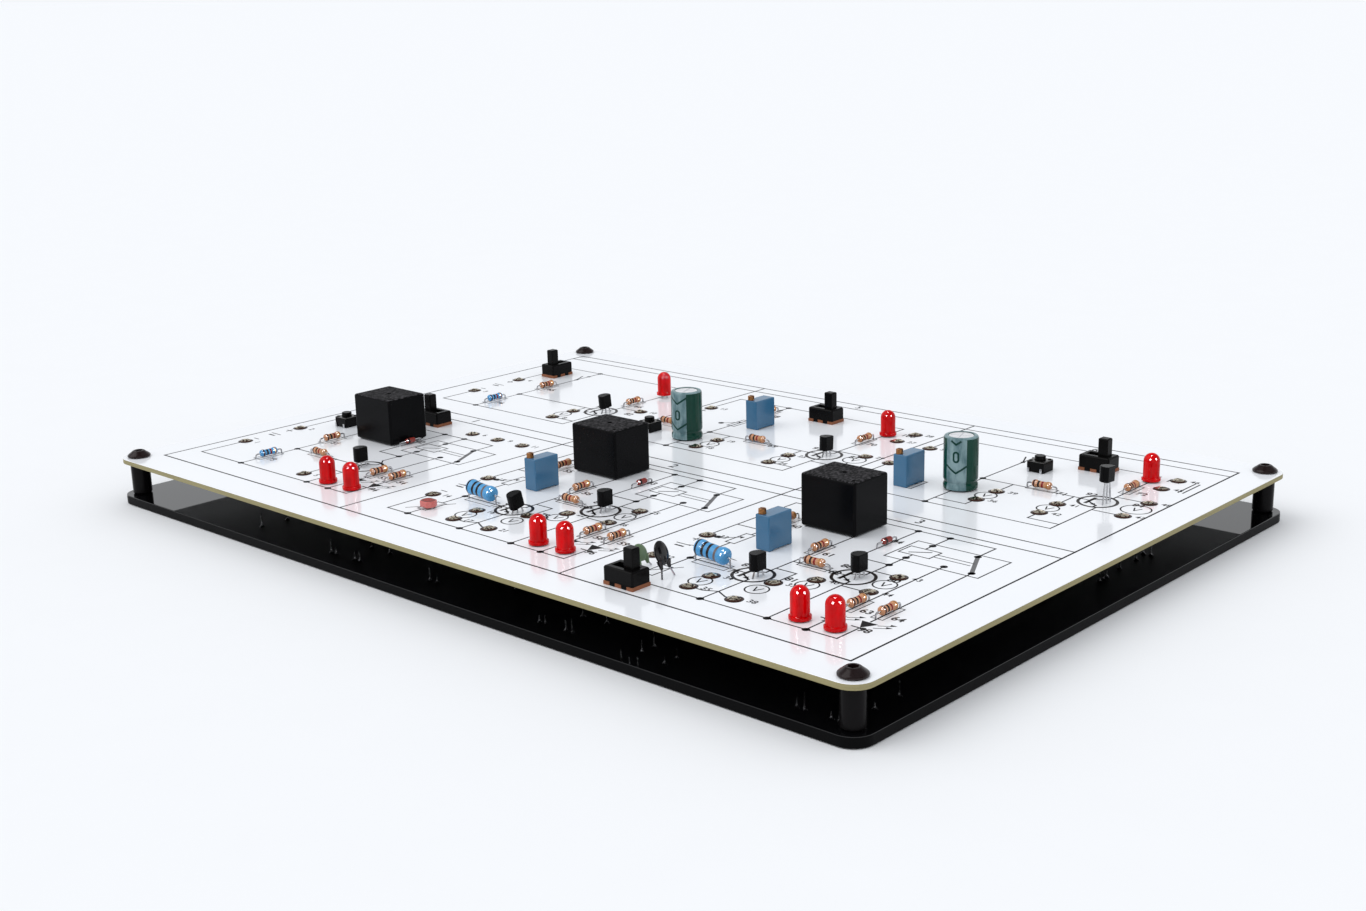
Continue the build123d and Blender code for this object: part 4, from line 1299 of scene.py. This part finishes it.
def draw_off_delay_circuit(ink):
    """Back middle."""
    ink.lines(
        [(103.4, 138), (103.4, 113.2), (177, 113.2), (177, 130.4)],
        [(103.4, 164.4), (103.4, 179), (177, 179), (177, 141.6)], [(126.3, 179), (126.3, 113.2)],
        [(126.3, 135.5), (170.2, 135.5)], [(126.3, 118.3), (135.5, 118.3)], [(135.8, 131), (135.8, 135.5)],
        [(167, 131), (167, 135.5)], [(167.2, 118.2), (177, 118.2)], [(177, 142.5), (188, 142.5)],
        [(177, 127.5), (188, 127.5), (188, 133)],
    )
    ink.transistor(176, 136)
    ink.meter(137, 123.5)
    ink.meter(168, 123.2)
    ink.meter(187.6, 137, 3.8)
    ink.key(126.3, 171)
    ink.variable(126.3, 151)
    ink.supply(103.5, 140.3, 162)
    ink.dots((126.3, 178.8), (126.3, 135.5), (126.3, 113.3), (121, 147.6))


def draw_on_delay_circuit(ink):
    """Back right."""
    ink.lines(
        [(198.6, 138.6), (198.6, 113.2), (274, 113.2), (274, 138.3)],
        [(198.6, 166), (198.6, 179), (273.5, 179), (273.5, 149.7)], [(231.5, 179), (231.5, 113.2)],
        [(231.5, 144.3), (266, 144.3)], [(231.5, 118.5), (242.3, 118.5), (242.3, 122)],
        [(242.6, 137), (242.6, 144.3)], [(263.5, 137), (263.5, 144.3)],
        [(263.7, 122), (263.7, 118), (274, 118)], [(274, 151.5), (284, 151.5)], [(274, 136), (284, 136)],
        [(285.3, 167), (285.3, 178)], [(286.8, 167), (286.8, 178)],
    )
    ink.transistor(271.5, 144, 5.7)
    ink.meter(242.3, 129.5, 3.3)
    ink.meter(263.5, 129.5, 3.3)
    ink.meter(284, 143.8, 4.4)
    ink.key(231.5, 171)
    ink.variable(219, 126)
    ink.supply(198.6, 141, 163.5)
    ink.dots((231.5, 144.5), (231.5, 113.4))


def draw_component_outlines(ink):
    """Outlines under the resistors, rings round the pads, and a plain number beside each pad."""
    count = FIRST_LABEL
    for node, long_side, short_side in (
        ("brown_resistors", 9.4, 3.6), ("blue_resistors", 9.4, 3.6), ("power_resistors", 11.4, 4.2),
    ):
        for points in solids(node):
            low, high = span(points)
            along_x = high.x - low.x > high.y - low.y
            half_x, half_y = (long_side / 2, short_side / 2) if along_x else (short_side / 2, long_side / 2)
            x = (low.x + high.x) / 2 - FRAME_LEFT
            y = (low.y + high.y) / 2 - FRAME_FRONT
            ink.frame(x - half_x, y - half_y, x + half_x, y + half_y, 0.3)
            count += 1
            ink.number(count, x + half_x + 2.6, y - half_y * 0.4, LABEL_SIZE, "black ink")
    pads = sorted((middle(points) for points in solids("test_pads")), key=lambda point: (point.x, point.y))
    for i, centre in enumerate(pads):
        x = centre.x - FRAME_LEFT
        y = centre.y - FRAME_FRONT
        ink.circle(x, y, 2.35, 0.4, "black ink")
        ink.number(i + 1, x + 4.8, y + 1.4, PAD_LABEL_SIZE)
    for node, step_x, step_y in (
        ("transistor_bodies", 8.8, 3.6), ("transistor_bodies", -7.4, 5.2),
        ("led_lenses", 5.6, 3.8), ("diodes", 0, 3.6),
    ):
        for points in solids(node):
            centre = middle(points)
            count += 1
            x = centre.x - FRAME_LEFT + step_x
            y = centre.y - FRAME_FRONT + step_y
            ink.number(count, x, y, LABEL_SIZE, "black ink")


def print_circuits():
    """All the ink on the board."""
    ink = Drawing("ink", "black ink", "pale ink")
    draw_frames(ink)
    draw_relay_circuit(ink)
    draw_sensor_circuit(ink)
    ink.shift = SENSOR_STEP
    draw_sensor_circuit(ink)
    ink.shift = (0.0, 0.0)
    draw_transistor_circuit(ink)
    draw_off_delay_circuit(ink)
    draw_on_delay_circuit(ink)
    draw_component_outlines(ink)
    ink.finish("printed_circuits", BOARD_BODY, slot="white_board")


# Camera, floor and light

CAMERA_AZIMUTH = 42.892
CAMERA_ELEVATION = 15.3
CAMERA_ROLL = 1.3818
CAMERA_PLACE = (0.366925, -0.39219, 0.16518)
CAMERA_LENS = 45.40
SKY_STRENGTH = 0.88
SKY_TONE = (0.955, 0.975, 1.0, 1)
CEILING_TONE = (0.32, 0.33, 0.35, 1)
BACKGROUND_TONE = (1.057, 1.087, 1.126, 1)
FLOOR_RADIUS = 60
LAMP_STRENGTH = 0.8
LAMP_SPREAD = math.radians(50)
LAMP_WAY = (-0.42, -0.5, 0.75)
WINDOW_DISTANCE = 2
WINDOW_STRENGTH = 75
GLOSSY_PARTS = (
    "red_lenses", "brown_resistors_look", "blue_resistors_look", "power_resistors_look", "glass_diodes",
)


def make_camera():
    """Camera at the photograph's angle."""
    azimuth, elevation, roll = map(math.radians, (CAMERA_AZIMUTH, CAMERA_ELEVATION, CAMERA_ROLL))
    forward = Vector((
        -math.sin(azimuth) * math.cos(elevation),
        math.cos(azimuth) * math.cos(elevation),
        -math.sin(elevation),
    ))
    side = forward.cross(Vector((0, 0, 1))).normalized()
    below = forward.cross(side)
    right = side * math.cos(roll) + below * math.sin(roll)
    down = below * math.cos(roll) - side * math.sin(roll)
    turn = Matrix((right, -down, -forward)).transposed()
    lens = bpy.data.cameras.new("camera")
    lens.lens = CAMERA_LENS
    lens.sensor_width = 36
    lens.sensor_fit = "HORIZONTAL"
    lens.clip_start = 0.01
    lens.clip_end = 200
    camera = in_scene("camera", lens)
    camera.matrix_world = Matrix.Translation(CAMERA_PLACE) @ turn.to_4x4()
    bpy.context.scene.camera = camera


def window_glow():
    """White light of the small windows that show only as highlights."""
    finish = Finish("window_glow")
    tone = finish.blend(finish.noise(8, 2), (1, 1, 1, 1), (0.88, 0.92, 1, 1))
    glow = finish.node("ShaderNodeEmission", {}, {"Color": tone, "Strength": WINDOW_STRENGTH})
    return finish.closed(glow)


def make_sky():
    """Even sky; its ceiling looks darker in reflections, and the camera sees the floor's tone."""
    sky = Sky("studio")
    height = sky.node("ShaderNodeSeparateXYZ", {}, {"Vector": sky.position}, "Z")
    overhead = sky.node("ShaderNodeMapRange", {}, {"Value": height, "From Min": 0.3, "From Max": 0.6})
    mirrored = sky.node("ShaderNodeLightPath", {}, {}, "Is Glossy Ray")
    seen = sky.node("ShaderNodeLightPath", {}, {}, "Is Camera Ray")
    tone = sky.blend(overhead * mirrored, SKY_TONE, CEILING_TONE)
    tone = sky.blend(seen, tone, BACKGROUND_TONE)
    light = sky.node("ShaderNodeBackground", {}, {"Color": tone, "Strength": SKY_STRENGTH})
    bpy.context.scene.world = sky.closed(light)


def make_windows():
    """Windows that only the small glossy parts mirror."""
    glossy = bpy.data.collections.new("small_glossy_parts")
    for name in GLOSSY_PARTS:
        glossy.objects.link(bpy.data.objects[name])
    glow = window_glow()
    for name, size, way in (
        ("left_window", 0.46, (0.1, -0.86, 0.51)),
        ("right_window", 0.46, (0.88, 0.11, 0.45)),
        ("high_window", 0.3, (0.0, 0.0, 1.0)),
    ):
        pane = bmesh.new()
        bmesh.ops.create_grid(pane, x_segments=1, y_segments=1, size=size)
        window = as_object(name, pane, glow)
        window.location = Vector(way) * WINDOW_DISTANCE
        window.rotation_euler = Vector(way).to_track_quat("Z", "Y").to_euler()
        window.visible_camera = False
        window.visible_diffuse = False
        window.visible_shadow = False
        window.light_linking.receiver_collection = glossy


def make_studio():
    """Pale floor, sky, windows and one broad soft lamp."""
    floor = bmesh.new()
    bmesh.ops.create_circle(floor, cap_ends=True, radius=FLOOR_RADIUS, segments=64)
    pale = surface("pale_floor", (245, 246, 248), (243, 244, 246), 0.7, 40, 0.0, shine=0.0)
    sheet = as_object("floor", floor, pale)
    sheet.location = (0, 0, -0.0002)

    lamp = bpy.data.lights.new("soft_lamp", "SUN")
    lamp.energy = LAMP_STRENGTH
    lamp.angle = LAMP_SPREAD
    holder = in_scene("soft_lamp", lamp)
    holder.rotation_euler = Vector(LAMP_WAY).to_track_quat("Z", "Y").to_euler()
    make_sky()
    make_windows()
    bpy.context.scene.view_settings.view_transform = "Standard"


make_plates()
make_fasteners()
make_relays()
make_switches()
make_buttons()
make_trimmers()
make_leds()
make_transistors()
make_leads()
make_resistors()
make_diodes()
make_capacitors()
make_sensors()
make_solder()
print_circuits()
for item in frame["nodes"].values():
    if not item.hide_render:
        item.data.materials.clear()
        item.data.materials.append(finishes["tinned steel"])
make_camera()
make_studio()
